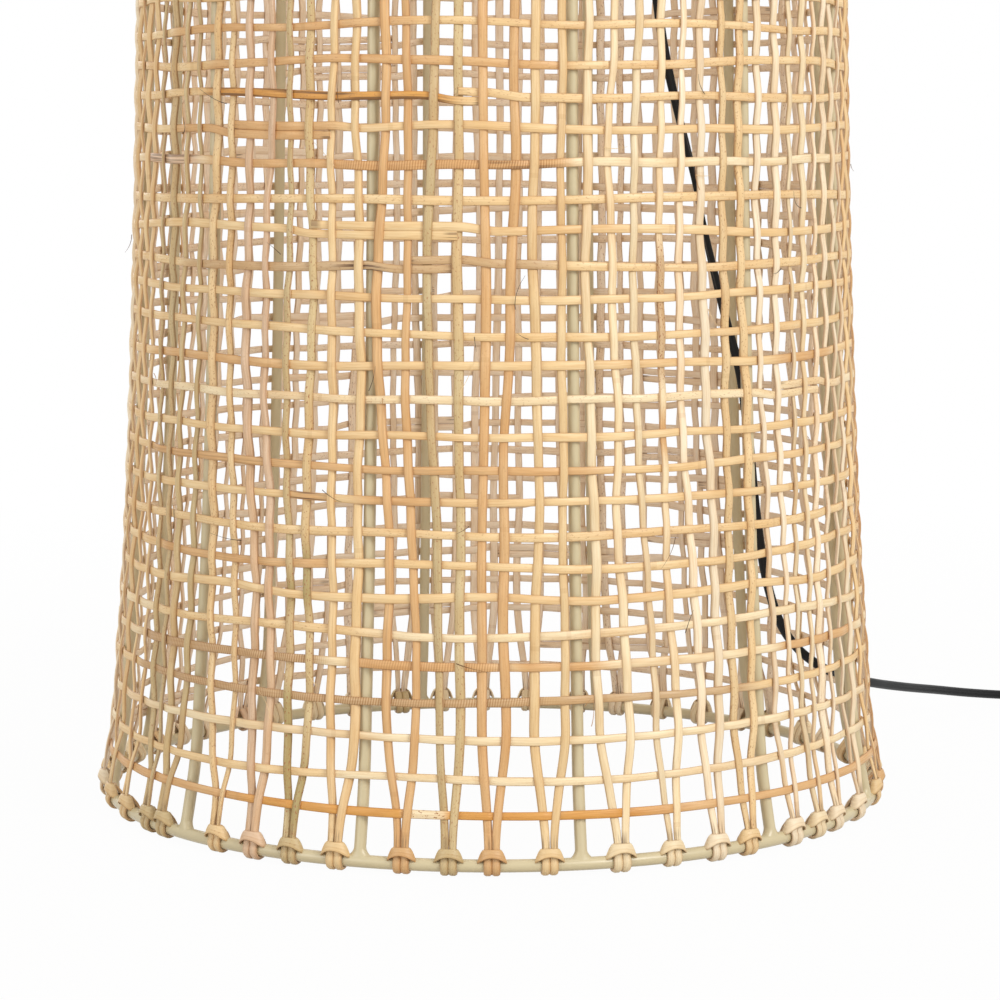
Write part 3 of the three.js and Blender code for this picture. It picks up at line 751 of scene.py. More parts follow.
def mesh_piece(name: str, build: BMesh, finish: AnyFinish, crease: float = 35) -> Object:
    """Turns a bmesh into a smooth-shaded piece with crisp corners.

    Args:
        name: the piece's name.
        build: the bmesh, which is freed.
        finish: the finish.
        crease: the angle in degrees above which an edge stays crisp.

    Returns:
        The new piece.
    """
    bmesh.ops.recalc_face_normals(build, faces=build.faces)
    mesh = mesh_of(name, build)
    mesh.shade_smooth()
    mesh.set_sharp_from_angle(angle=math.radians(crease))
    mesh.materials.append(material_of(finish))
    return shown(name, mesh)


def softened(profile: Outline, radius: float, closed: bool = False, steps: int = 4) -> Outline:
    """Rounds the corners of an outline.

    Args:
        profile: the corners in order.
        radius: how far from a corner its rounding starts, at most.
        closed: whether the last corner joins the first.
        steps: how many points each rounded corner gets, less one.

    Returns:
        The rounded outline.
    """
    corners = [np.array(p, float) for p in profile]
    count = len(corners)
    rounded: list[Pair] = []
    for i, corner in enumerate(corners):
        if not closed and i in (0, count - 1):
            rounded.append(tuple(corner))
            continue
        before, after = corners[i - 1] - corner, corners[(i + 1) % count] - corner
        reach = min(radius, 0.45 * np.linalg.norm(before), 0.45 * np.linalg.norm(after))
        start = corner + before / np.linalg.norm(before) * reach
        end = corner + after / np.linalg.norm(after) * reach
        for t in np.linspace(0, 1, steps + 1):
            rounded.append(tuple((1 - t) ** 2 * start + 2 * t * (1 - t) * corner + t * t * end))
    return rounded


def skin(build: BMesh, loops: Sequence[Sequence[BMVert]]) -> None:
    """Fills the faces between closed loops of as many points, and leaves out those of no size.

    Args:
        build: the bmesh.
        loops: the loops in order.
    """
    for low, high in zip(loops, loops[1:]):
        for i in range(len(low)):
            j = (i + 1) % len(low)
            corners = list(dict.fromkeys((low[i], low[j], high[j], high[i])))
            if len(corners) > 2:
                build.faces.new(corners)


def turned(
    name: str, profile: Outline, rounding: float, finish: AnyFinish, centre: Sequence[float] = (0, 0, 0),
    axis: Sequence[float] = (0, 0, 1), closed: bool = False, sides: int = 72,
) -> Object:
    """Turns a profile of radius and height about an axis.

    Args:
        name: the piece's name.
        profile: the profile, from the axis to the axis, or all round where it is closed.
        rounding: how far its corners are rounded, or 0 for a profile that is smooth already.
        finish: the finish.
        centre: where the profile's zero height lies on the axis.
        axis: the axis, along +Z or level.
        closed: whether the profile closes on itself, as for a tube.
        sides: the number of steps round.

    Returns:
        The new piece.
    """
    up = np.array(axis, float)
    side = np.array((0, 0, 1)) if abs(up[2]) < 0.5 else np.array((1, 0, 0))
    other = np.cross(up, side)
    ways = [side * math.cos(a) + other * math.sin(a) for a in steps_round(sides)]
    build = bmesh.new()
    rings = []
    for radius, height in softened(profile, rounding, closed) if rounding else profile:
        middle = np.array(centre, float) + up * height
        if radius < NO_SIZE:
            rings.append([build.verts.new(middle)] * sides)
        else:
            rings.append([build.verts.new(middle + radius * way) for way in ways])
    if closed:
        rings.append(rings[0])
    skin(build, rings)
    return mesh_piece(name, build, finish)


def slab(
    name: str, outline: Outline, low: float, high: float, finish: Finish,
    rounding: float, hole: Outline = (),
) -> Object:
    """Raises an outline into a slab with rounded edges.

    Args:
        name: the piece's name.
        outline: the outline in the floor's plane.
        low: its lower height.
        high: its upper height.
        finish: the finish.
        rounding: how far the edges are rounded.
        hole: an outline of as many points, cut right through.

    Returns:
        The new piece.
    """
    build = bmesh.new()
    edges = [(outline, low), (outline, high), *([(hole, high), (hole, low)] if hole else [])]
    loops = [[build.verts.new((x, y, height)) for x, y in edge] for edge, height in edges]
    if hole:
        loops.append(loops[0])
    else:
        build.faces.new(loops[0])
        build.faces.new(loops[1])
    skin(build, loops)
    bmesh.ops.recalc_face_normals(build, faces=build.faces)
    edges = [e for e in build.edges if e.calc_face_angle(0) > math.radians(60)]
    bmesh.ops.bevel(build, geom=edges, offset=rounding, segments=4, affect="EDGES", profile=0.5)
    return mesh_piece(name, build, finish, crease=40)


def rounded_rectangle(centre: Pair, size: Pair, corner: float, steps: int = 8) -> Outline:
    """Returns the points of a rectangle with round corners, anticlockwise.

    Args:
        centre: its middle.
        size: its length and width.
        corner: the radius of its corners.
        steps: the steps round each corner.

    Returns:
        The points.
    """
    (x, y), (long, wide) = centre, size
    points = []
    for k, (sx, sy) in enumerate(((1, 1), (-1, 1), (-1, -1), (1, -1))):
        for i in range(steps + 1):
            angle = (k + i / steps) * TURN / 4
            points.append(
                (
                    x + sx * (long / 2 - corner) + corner * math.cos(angle),
                    y + sy * (wide / 2 - corner) + corner * math.sin(angle),
                )
            )
    return points


def seat(piece: Object, slot: str, *nodes: str, body: str = "lamp") -> Object:
    """Fixes a piece to the frame.

    Args:
        piece: the finished piece.
        slot: the material slot of the record; not used.
        nodes: the CAD nodes that it stands for.
        body: the CAD body that it rides on.

    Returns:
        The same piece.
    """
    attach(piece, body)
    if nodes:
        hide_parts(*nodes)
    log.info("%s: %d faces, on %s", piece.name, len(piece.data.polygons), body)
    return piece


@dataclass(frozen=True)
class Place:
    """Where a CAD node lies, by its lowest and highest corners."""

    low: Array
    high: Array

    @classmethod
    def of(cls, node: str) -> "Place":
        """Returns the place of a node."""
        return cls(*(np.array(corner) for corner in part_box(node)))

    @property
    def middle(self) -> Array:
        """The middle of its box."""
        return (self.low + self.high) / 2

    @property
    def size(self) -> Array:
        """Its length, width and height."""
        return self.high - self.low

    @property
    def radius(self) -> float:
        """Half its greater width."""
        return max(self.size[:2]) / 2

    @property
    def foot(self) -> float:
        """The height of its underside."""
        return self.low[2]

    @property
    def top(self) -> float:
        """The height of its upper side."""
        return self.high[2]


@dataclass(frozen=True)
class Turning:
    """A round piece on the lamp's axis, in the place of a CAD node.

    Each row of its profile gives a radius and a height, both as a share of the node's own and
    millimetres more. A profile that starts on the axis is solid, and any other is a tube.
    """

    name: str
    node: str
    finish: AnyFinish
    slot: str
    rounding: float
    profile: tuple[tuple[float, float, float, float], ...]
    body: str = "lamp"
    sides: int = 72

    def build(self) -> None:
        """Turns the piece and seats it."""
        place = Place.of(self.node)
        profile = [
            (wide * place.radius + out * MM, (1 - tall) * place.foot + tall * place.top + up * MM)
            for wide, out, tall, up in self.profile
        ]
        piece = turned(
            self.name, profile, self.rounding, self.finish, closed=profile[0][0] > 0, sides=self.sides
        )
        seat(piece, self.slot, self.node, body=self.body)


# The camera and the studio


@dataclass
class Viewpoint:
    """The photograph's camera: a long lens a little above the lamp's knee, pitched down."""

    distance: float = 1.6497
    height: float = 0.3622
    pitch_deg: float = 7.017
    lens_mm: float = 108.76
    sensor_mm: float = 36.0
    sight: float = 100.0  # how far it sees, well past the floor's edge
    shift: float = 0.008

    def place(self) -> None:
        """Makes the camera."""
        data = bpy.data.cameras.new("camera")
        data.sensor_width = self.sensor_mm
        data.lens = self.lens_mm
        data.shift_x = self.shift
        data.clip_end = self.sight
        camera = shown("camera", data)
        camera.location = (0, -self.distance, self.height)
        camera.rotation_euler = (math.radians(90 - self.pitch_deg), 0, 0)
        bpy.context.scene.camera = camera


@dataclass(frozen=True)
class Softbox:
    """A square softbox that points at the lamp's lower half."""

    name: str
    place: Point
    side: float
    watts: float
    aim: float = 0.35  # the height of the point that it faces

    def build(self) -> None:
        """Makes its light."""
        data = bpy.data.lights.new(self.name, "AREA")
        data.size = self.side
        data.energy = self.watts
        lamp = shown(self.name, data)
        lamp.location = self.place
        away = lamp.location.copy()
        away.z -= self.aim
        lamp.rotation_euler = away.to_track_quat("Z", "Y").to_euler()


@dataclass
class Studio:
    """A white studio: a pale floor that keeps a faint shadow, four softboxes and an even surround."""

    softboxes: tuple[Softbox, ...] = (
        Softbox("key", (1.9, -2.2, 1.7), 1.3, 61), Softbox("fill", (-2.2, -1.9, 1.1), 1.8, 26),
        Softbox("top", (0.2, 0.4, 3.0), 2.0, 22), Softbox("back", (-1.4, 2.4, 1.5), 1.8, 24),
    )
    floor_reach: float = 40.0
    floor_colour: str = "#cecbc6"
    surround: float = 0.61
    own_white: float = 0.965
    paper_near: float = 0.5
    paper_far: float = 1.3
    tooth_size: float = 2 * MM
    tooth_depth: float = 0.02 * MM

    def build(self) -> None:
        """Makes the floor, the surround and the softboxes."""
        self._floor()
        self._surround()
        for softbox in self.softboxes:
            softbox.build()
        bpy.context.scene.view_settings.view_transform = "Standard"

    def _floor(self) -> None:
        """Makes the floor, which shows near white and keeps part of its shadow."""
        build = bmesh.new()
        bmesh.ops.create_grid(build, x_segments=8, y_segments=8, size=self.floor_reach)
        mesh = mesh_of("studio_floor", build)
        material, add, shader = new_material("Studio_paper_white_matt")
        material.node_tree.nodes.remove(shader)
        place = add("ShaderNodeTexCoord").outputs["Object"]
        tooth = add("ShaderNodeTexNoise", {"Vector": place, "Scale": 1 / self.tooth_size})
        bump = add("ShaderNodeBump", {"Height": tooth, "Distance": self.tooth_depth, "Strength": 0.3})
        paper = add("ShaderNodeBsdfDiffuse", {"Color": linear(self.floor_colour), "Normal": bump})
        glow = add("ShaderNodeEmission", {"Strength": 1.0})
        away = add("ShaderNodeVectorMath", {0: place}, operation="LENGTH")
        white = add(
            "ShaderNodeMapRange",
            {"Value": away.outputs["Value"], "From Min": self.paper_near, "From Max": self.paper_far,
             "To Min": self.own_white, "To Max": 1.0},
        )
        bright = add("ShaderNodeMixShader", {0: white, 1: paper, 2: glow})
        floor = add("ShaderNodeMixShader", {0: self._seen(add), 1: paper, 2: bright})
        feed(material.node_tree.nodes["Material Output"], {"Surface": floor})
        mesh.materials.append(material)
        shown("studio_floor", mesh)

    def _surround(self) -> None:
        """Makes the surround, which is white where it is seen."""
        world = bpy.data.worlds.new("surround")
        world.use_nodes = True
        bpy.context.scene.world = world
        add = partial(add_node, world.node_tree)
        background = world.node_tree.nodes["Background"]
        background.inputs["Color"].default_value = (1, 1, 1, 1)
        strength = add(
            "ShaderNodeMapRange", {"Value": self._seen(add), "To Min": self.surround, "To Max": 1.0}
        )
        feed(background, {"Strength": strength})

    @staticmethod
    def _seen(add: Adder) -> Node:
        """Adds what is 1 for rays from the camera, from gloss and through glass.

        Args:
            add: what adds nodes to the tree.

        Returns:
            The node that gives it.
        """
        path = add("ShaderNodeLightPath").outputs
        gloss = add(
            "ShaderNodeMath", {0: path["Is Camera Ray"], 1: path["Is Glossy Ray"]}, operation="MAXIMUM"
        )
        return add("ShaderNodeMath", {0: gloss, 1: path["Is Transmission Ray"]}, operation="MAXIMUM")


# The cord and what is on it


def smooth_route(points: Sequence[Sequence[float]], step: float) -> Array:
    """Runs a centripetal curve through points and steps evenly along it.

    Args:
        points: the route.
        step: the length of a step, about.

    Returns:
        The stepped points.
    """
    given = np.array(points, float)
    ends = 2 * given[[0, -1]] - given[[1, -2]]
    knots = np.vstack([ends[:1], given, ends[1:]])
    run = []
    for p in (knots[i : i + 4] for i in range(len(knots) - 3)):
        t = np.concatenate([[0], np.cumsum(np.sqrt(np.linalg.norm(np.diff(p, axis=0), axis=1)))])
        u = np.linspace(t[1], t[2], 24, endpoint=False)[:, None]
        for spans in (((0, 1), (1, 2), (2, 3)), ((0, 2), (1, 3)), ((1, 2),)):
            p = [((t[b] - u) * p[k] + (u - t[a]) * p[k + 1]) / (t[b] - t[a])
                 for k, (a, b) in enumerate(spans)]
        run.append(p[0])
    return stepped(np.vstack([*run, given[-1:]]), step)


def stepped(run: Array, step: float) -> Array:
    """Steps evenly along a chain of points.

    Args:
        run: the points.
        step: the length of a step, about.

    Returns:
        The stepped points.
    """
    length = np.concatenate([[0], np.cumsum(np.linalg.norm(np.diff(run, axis=0), axis=1))])
    even = np.linspace(0, length[-1], max(2, round(length[-1] / step) + 1))
    return np.column_stack([np.interp(even, length, run[:, i]) for i in range(3)])


def length_of(run: Array) -> float:
    """Returns the length of a chain of points."""
    return float(np.linalg.norm(np.diff(run, axis=0), axis=1).sum())


@dataclass
class Flex:
    """The flat two-core cord, in two stretches, with its foot switch, coil, tie and plug."""

    sweep: Sweep
    width: float = 5.4 * MM
    thick: float = 3.2 * MM
    step: float = 3 * MM
    coil_turns: float = 7.25
    coil_radius: float = 43.4 * MM
    coil_pitch: float = 6.0 * MM
    coil_setback: float = 70 * MM
    layer_rise: float = 3.8 * MM
    coil_height: float = 2.9 * MM
    lead_bend: float = 30 * MM
    lead_out: float = 29 * MM
    twists: float = 2.5
    twist_end: float = 0.075
    relief_thin: float = 3.3 * MM
    relief_groove: float = 0.7 * MM
    # The foot switch: the corners of its body, well and key, the well's clearance, the edges
    # of its tray, lid and key, and its reliefs' thick ends and ribs
    switch_corner: float = 7 * MM
    well_corner: float = 4 * MM
    key_corner: float = 3.6 * MM
    well_clearance: float = 0.8 * MM
    tray_edge: float = 0.6 * MM
    lid_edge: float = 1.2 * MM
    key_edge: float = 1.4 * MM
    switch_relief: tuple[float, int] = (4.2 * MM, 3)
    tie_thick: float = 1 * MM
    tie_corner: float = 3 * MM
    # The plug: where along it and how wide its waisted side is, as shares of its size, then its
    # relief, and its pins with their sleeves
    plug_side: Outline = ((0, 1), (0.38, 1), (0.55, 0.78), (0.7, 0.615), (1, 0.423))
    plug_corner: float = 2.5 * MM
    plug_edge: float = 2.2 * MM
    plug_relief: tuple[float, int] = (5 * MM, 5)
    pin_radius: float = 2 * MM
    pin_taper: float = 1.2 * MM
    cuff_thick: float = 0.12 * MM
    cuff_share: float = 0.52
    # The route from the cord grip to the foot switch: the frame's, but for up to 2.7 mm sideways
    # beside the weave, where the photograph shows it
    route: tuple[Point, ...] = (
        (0, 0, 0.8431), (0, 0, 0.822), (0.004, 0.0011, 0.792), (0.017, 0.0047, 0.735),
        (0.035, 0.0097, 0.660), (0.054, 0.015, 0.582), (0.073, 0.020, 0.506), (0.088, 0.0242, 0.446),
        (0.094, 0.027, 0.408), (0.1022, 0.0297, 0.372), (0.1107, 0.0323, 0.340), (0.1176, 0.0348, 0.308),
        (0.1242, 0.0372, 0.281), (0.1314, 0.0396, 0.254), (0.1392, 0.042, 0.226),
        (0.1443, 0.0446, 0.192), (0.1497, 0.048, 0.145), (0.157, 0.0516, 0.104), (0.1655, 0.0546, 0.080),
        (0.1745, 0.058, 0.067), (0.1845, 0.0625, 0.058), (0.195, 0.070, 0.051), (0.207, 0.0835, 0.045),
        (0.224, 0.1095, 0.037), (0.249, 0.149, 0.027), (0.274, 0.185, 0.0185), (0.298, 0.2125, 0.0115),
        (0.320, 0.231, 0.0068), (0.333, 0.2378, 0.0051), (0.343, 0.240, 0.0046), (0.352, 0.240, 0.0045),
    )

    def build(self) -> None:
        """Makes the cord, the switch, the coil and the plug."""
        switch = self._switch()
        plug = self._plug()
        tie = self._tie()
        run = smooth_route(self.route, self.step)
        fallen = np.clip((self.route[0][2] - run[:, 2]) / (self.route[0][2] - self.twist_end), 0, 1)
        drop = self._cord("cord_drop", run, "lamp_cord", eased(fallen) * self.twists * math.pi)
        wound = self._coil_run()
        coil = self._cord("cord_wound", wound, "cord_coil")
        log.info("cord %.3f m to the switch, %.3f m to the plug", length_of(run), length_of(wound))

    def _outline(self) -> Outline:
        """Draws the section: two round cores side by side in one sheath, with a groove between.

        Returns:
            Its outline.
        """
        radius = self.thick / 2
        offset = self.width / 2 - radius
        half = math.acos(offset / radius)
        reach = math.pi - half - 0.25
        angles = np.linspace(-reach, reach, 11)
        right = [(radius * math.sin(a), offset + radius * math.cos(a)) for a in angles]
        lobes = [*right, *((-x, -y) for x, y in right)]
        return lobes[::-1]

    def _cord(self, name: str, run: Array, node: str, twist: Values = 0.0) -> Object:
        """Sweeps the cord along a run, with its width level but for a twist, and seats it.

        Args:
            name: the piece's name.
            run: the centreline.
            node: the CAD node that it stands for.
            twist: how far it is turned at each point.

        Returns:
            The cord.
        """
        tangent = np.gradient(run, axis=0)
        tangent /= np.linalg.norm(tangent, axis=1, keepdims=True)
        level = np.cross((0, 0, 1), tangent)
        size = np.linalg.norm(level, axis=1)
        for i in range(len(run) - 2, -1, -1):
            if size[i] < 0.05:
                level[i], size[i] = level[i + 1], size[i + 1]
        level = level / size[:, None]
        angle = np.broadcast_to(twist, len(run))[:, None]
        facing = np.cross(tangent, level) * np.cos(angle) + level * np.sin(angle)
        piece = self.sweep.along(name, [Strand(run, facing)], self._outline(), SHEATH)
        return seat(piece, "black_cord", node)

    def _coil_run(self) -> Array:
        """Runs the second stretch: out of the switch, wound in and out again in two layers.

        Returns:
            The centreline's points.
        """
        exit_box = Place.of("switch_relief_coil")
        start = np.array((exit_box.high[0] + 0.3 * MM, exit_box.middle[1], exit_box.middle[2]))
        run = [start, start + (self.width, 0, 0)]
        bend = run[1] - (0, self.lead_bend, 0)
        for share in np.arange(1, 9) / 8:
            angle = TURN / 4 * (1 - share)
            height = (self.coil_height - start[2]) * share
            arc = (self.lead_bend * math.cos(angle), self.lead_bend * math.sin(angle), height)
            run.append(bend + arc)
        middle = np.array(
            (bend[0] + self.lead_bend - self.coil_radius, start[1] - self.coil_setback, self.coil_height)
        )
        turns = np.linspace(0, self.coil_turns, round(self.coil_turns * 60) + 1)
        radius = self.coil_radius - self.coil_pitch * np.minimum(turns, self.coil_turns - turns)
        climbed = np.clip((turns - self.coil_turns / 2) / 0.5 + 0.5, 0, 1)
        angle = -turns * TURN
        spiral = np.column_stack(
            [radius * np.cos(angle), radius * np.sin(angle), self.layer_rise * climbed]
        )
        end = middle + spiral[-1]
        last = (end[0] - self.lead_out, end[1], Place.of("plug_body").middle[2])
        return stepped(np.vstack([np.array(run), middle + spiral, [last]]), self.step)

    def _relief(self, name: str, node: str, start: float, end: float, thick: float, ribs: int) -> Object:
        """Makes a tapered strain relief with ribs round it.

        Args:
            name: the piece's name.
            node: the CAD node that it stands for.
            start: where its thin end lies along X.
            end: where its thick end lies along X.
            thick: its radius there.
            ribs: the number of ribs.

        Returns:
            The relief.
        """
        middle = Place.of(node).middle
        length, thin, groove = abs(end - start), self.relief_thin, self.relief_groove
        profile = [(0.0, 0.0)]
        for i in range(ribs):
            for share, depth in ((0.0, 0.0), (0.6, 0.0), (0.68, groove), (0.92, groove)):
                at = (i + share) / ribs
                profile.append((thin + (thick - thin) * at - depth, at * length))
        profile += [(thick, length), (0.0, length)]
        way = (math.copysign(1, end - start), 0, 0)
        piece = turned(name, profile, 0.4 * MM, PVC, (start, *middle[1:]), way, sides=40)
        return seat(piece, "black_plastic", node)

    def _switch(self) -> list[Object]:
        """Makes the foot switch: base, cover with its seam, domed button and two reliefs.

        Returns:
            Its pieces.
        """
        base, cover, button = (Place.of(n) for n in ("switch_base", "switch_cover", "switch_button"))
        entry, leave = Place.of("switch_relief_lamp"), Place.of("switch_relief_coil")
        centre = base.middle[:2]
        outline = rounded_rectangle(centre, base.size[:2], self.switch_corner)
        well = rounded_rectangle(centre, button.size[:2] + self.well_clearance, self.well_corner)
        key = rounded_rectangle(centre, button.size[:2], self.key_corner)
        tray = slab("switch_tray", outline, base.foot, base.top, PVC, self.tray_edge)
        lid = slab("switch_lid", outline, cover.foot, cover.top, PVC, self.lid_edge, well)
        seat(tray, "black_plastic", "switch_base")
        seat(lid, "black_plastic", "switch_cover")
        cap = slab("switch_key", key, button.foot, button.top, PVC, self.key_edge)
        seat(cap, "black_plastic", "switch_button", body="button")
        ends = (
            ("relief_in", "switch_relief_lamp", entry.low[0], entry.high[0]),
            ("relief_out", "switch_relief_coil", leave.high[0], leave.low[0]),
        )
        return [tray, lid, cap, *(self._relief(*end, *self.switch_relief) for end in ends)]

    def _tie(self) -> Object:
        """Makes the soft band round the coil's bundle.

        Returns:
            The band.
        """
        box = Place.of("cord_tie")
        long, wide, tall = box.size
        middle = box.middle
        inner = (long - self.tie_thick, tall - self.tie_thick)
        loop = rounded_rectangle((middle[0], middle[2]), inner, self.tie_corner, 6)
        points = np.array([(x, middle[1], z) for x, z in loop])
        away = (points - middle) * (1, 0, 1)
        out, across = self.tie_thick / 2, wide / 2
        corners = [(-out, -across), (out, -across), (out, across), (-out, across)]
        outline = softened(corners, 0.35 * MM, closed=True, steps=2)
        piece = self.sweep.along("coil_band", [Strand(points, away, closed=True)], outline, NYLON)
        return seat(piece, "black_plastic", "cord_tie")

    def _plug(self) -> list[Object]:
        """Makes the flat two-pin plug: waisted body, relief and sleeved pins.

        Returns:
            Its pieces.
        """
        body, neck = Place.of("plug_body"), Place.of("plug_relief")
        front, middle = body.low[0], body.middle
        length, half = body.size[0], body.size[1] / 2
        upper = [(front + along * length, middle[1] + wide * half) for along, wide in self.plug_side]
        lower = [(x, 2 * middle[1] - y) for x, y in reversed(upper)]
        outline = softened([*upper, *lower], self.plug_corner, closed=True)
        shell = slab("plug_shell", outline, body.foot, body.top, PVC, self.plug_edge)
        pieces = [seat(shell, "black_plastic", "plug_body")]
        pieces.append(
            self._relief("plug_sleeve", "plug_relief", neck.high[0], neck.low[0], *self.plug_relief)
        )
        radius, cuff = self.pin_radius, self.pin_radius + self.cuff_thick
        for i, node in enumerate(("plug_pin_01", "plug_pin_02"), 1):
            pin = Place.of(node)
            root = (front, *pin.middle[1:])
            long = front - pin.low[0]
            root_end, tip_end = long - self.pin_taper, radius * 0.55
            metal = [(0, 0), (radius, 0), (radius, root_end), (tip_end, long), (0, long)]
            prong = turned(f"plug_prong_{i:02d}", metal, 0.8 * MM, NICKEL, root, (-1, 0, 0))
            pieces.append(seat(prong, "nickel", node))
            inside, far = radius * 0.9, long * self.cuff_share
            sleeve = [(inside, 0), (cuff, 0), (cuff, far), (inside, far)]
            collar = turned(
                f"plug_cuff_{i:02d}", sleeve, 0, PVC, root, (-1, 0, 0), closed=True, sides=40
            )
            pieces.append(seat(collar, "black_plastic"))
        return pieces


# The woven cover


class Cane(Enum):
    """The kinds of cane, by their colour."""

    PALE = "#f0dfc1"
    CREAM = "#ecd9b3"
    STRAW = "#e6c998"
    GREEN = "#ccb688"
    OLIVE = "#ad9a66"
    PINK = "#dfc0a0"
    HONEY = "#d6ad79"
    AMBER = "#d39b4f"
    BROWN = "#c9ab82"


class Mark(Enum):
    """What a stretch of cane can show, by its place among a strand's marks."""

    SPECKS = 0
    RIBS = 1
    # Dark streaks; on the stakes' lowest points they are painted shade where the stakes leave the knots
    STREAKS = 2


@dataclass(frozen=True)
class Patch:
    """A stretch of one cane that shows a mark.

    On a row it lies between two angles from the front in degrees, on a stake between two heights
    in millimetres.
    """

    number: int
    start: float
    end: float
    mark: Mark
    strength: float
    cane: Cane | None = None
    fade: float = 5.0


@dataclass
class Row:
    """One cane woven all round, with its ends lapped."""

    height: float
    cane: Cane
    start: int
    lap: int
    waves: Array
    specks: float


@dataclass
class Knot:
    """One knot: two loops of a cane round the foot ring, under the hood that its fold makes."""

    sweep: Sweep
    section: Outline
    wrap: float  # the radius of a loop's middle
    loop_offset: float = 2.15 * MM
    loop_girth: float = 1.06
    loop_turn_deg: Point = (38, -191, -12)
    # A loop's two ends above the ring, by how far out and how high they are
    loop_front: Outline = ((2.9 * MM, 8.6 * MM), (4.0 * MM, 5.6 * MM))
    loop_back: Outline = ((-2.6 * MM, 4.4 * MM), (0.4 * MM, 8.2 * MM))
    # The hood: half its width, its depth and how far out it is, each at its upper edge and with
    # what the flare adds at its lower edge
    hood_width: Pair = (3.8 * MM, 4.3 * MM)
    hood_depth: Pair = (2.2 * MM, 2.6 * MM)
    hood_out: Pair = (2.4 * MM, -0.7 * MM)
    hood_foot: float = 5.5 * MM
    hood_height: float = 4.3 * MM
    hood_turn_deg: float = 118
    droop: float = 3.8 * MM
    wall: float = 0.7 * MM

    def build(self) -> Object:
        """Makes the knot.

        Returns:
            The knot, with +X outwards, +Y along the ring and the ring's middle at the origin.
        """
        bend = np.radians(np.arange(*self.loop_turn_deg))
        turn = np.column_stack([np.cos(bend), np.sin(bend)]) * self.wrap
        out, rise = np.vstack([self.loop_front, turn, self.loop_back]).T
        loops = []
        for side in (-1, 1):
            points = np.column_stack([out, np.full(len(out), side * self.loop_offset), rise])
            loops.append(Strand(points, points * (1, 0, 1), girth=self.loop_girth))
        piece = self.sweep.along("knot_loops", loops, self.section, CANE)
        build = bmesh.new()
        build.from_mesh(piece.data)
        build.from_mesh(self._hood())
        mesh = mesh_of("knot", build)
        bpy.data.objects.remove(piece)
        for spare in ("tint", "marks"):
            if spare in mesh.attributes:
                mesh.attributes.remove(mesh.attributes[spare])
        return shown("knot", mesh)

    def _hood(self) -> Mesh:
        """Makes the hood: the fold of the cane, tight above, its tips drooping below.

        Returns:
            Its mesh.
        """
        turns = np.radians(np.linspace(-self.hood_turn_deg, self.hood_turn_deg, 23))
        levels = np.linspace(0, 1, 7)
        build = bmesh.new()
        loops = []
        for level in levels:
            flare = (1 - level) ** 0.6
            wide, deep, centre = (
                upper + more * flare for upper, more in (self.hood_width, self.hood_depth, self.hood_out)
            )
            droop = self.droop * np.sin(turns) ** 2 * (1 - level) ** 1.3
            rise = self.hood_foot + self.hood_height * level - droop
            front, back = (
                np.column_stack(
                    [centre + (deep - inset) * np.cos(turns), (wide - inset) * np.sin(turns), rise]
                )
                for inset in (0.0, self.wall)
            )
            loops.append([build.verts.new(p) for p in (*front, *back[::-1])])
        skin(build, loops)
        for loop in (loops[0], loops[-1]):
            for i in range(len(turns) - 1):
                build.faces.new((loop[i], loop[i + 1], loop[-2 - i], loop[-1 - i]))
        bmesh.ops.recalc_face_normals(build, faces=build.faces)
        mesh = mesh_of("hood", build)
        there_and_back = np.concatenate([turns, turns[::-1]]) * 6 * MM
        give(mesh, "along", np.tile(there_and_back, len(levels)))
        # Spreads the hood's rows across a cane's width, so that the finish darkens its top and its lip
        # as it darkens a cane's edges: partly skin, partly painted shade
        section = np.zeros((len(mesh.vertices), 3))
        section[:, 1] = np.repeat(levels - 0.5, len(there_and_back)) * 4 * MM
        give(mesh, "section", section)
        return mesh


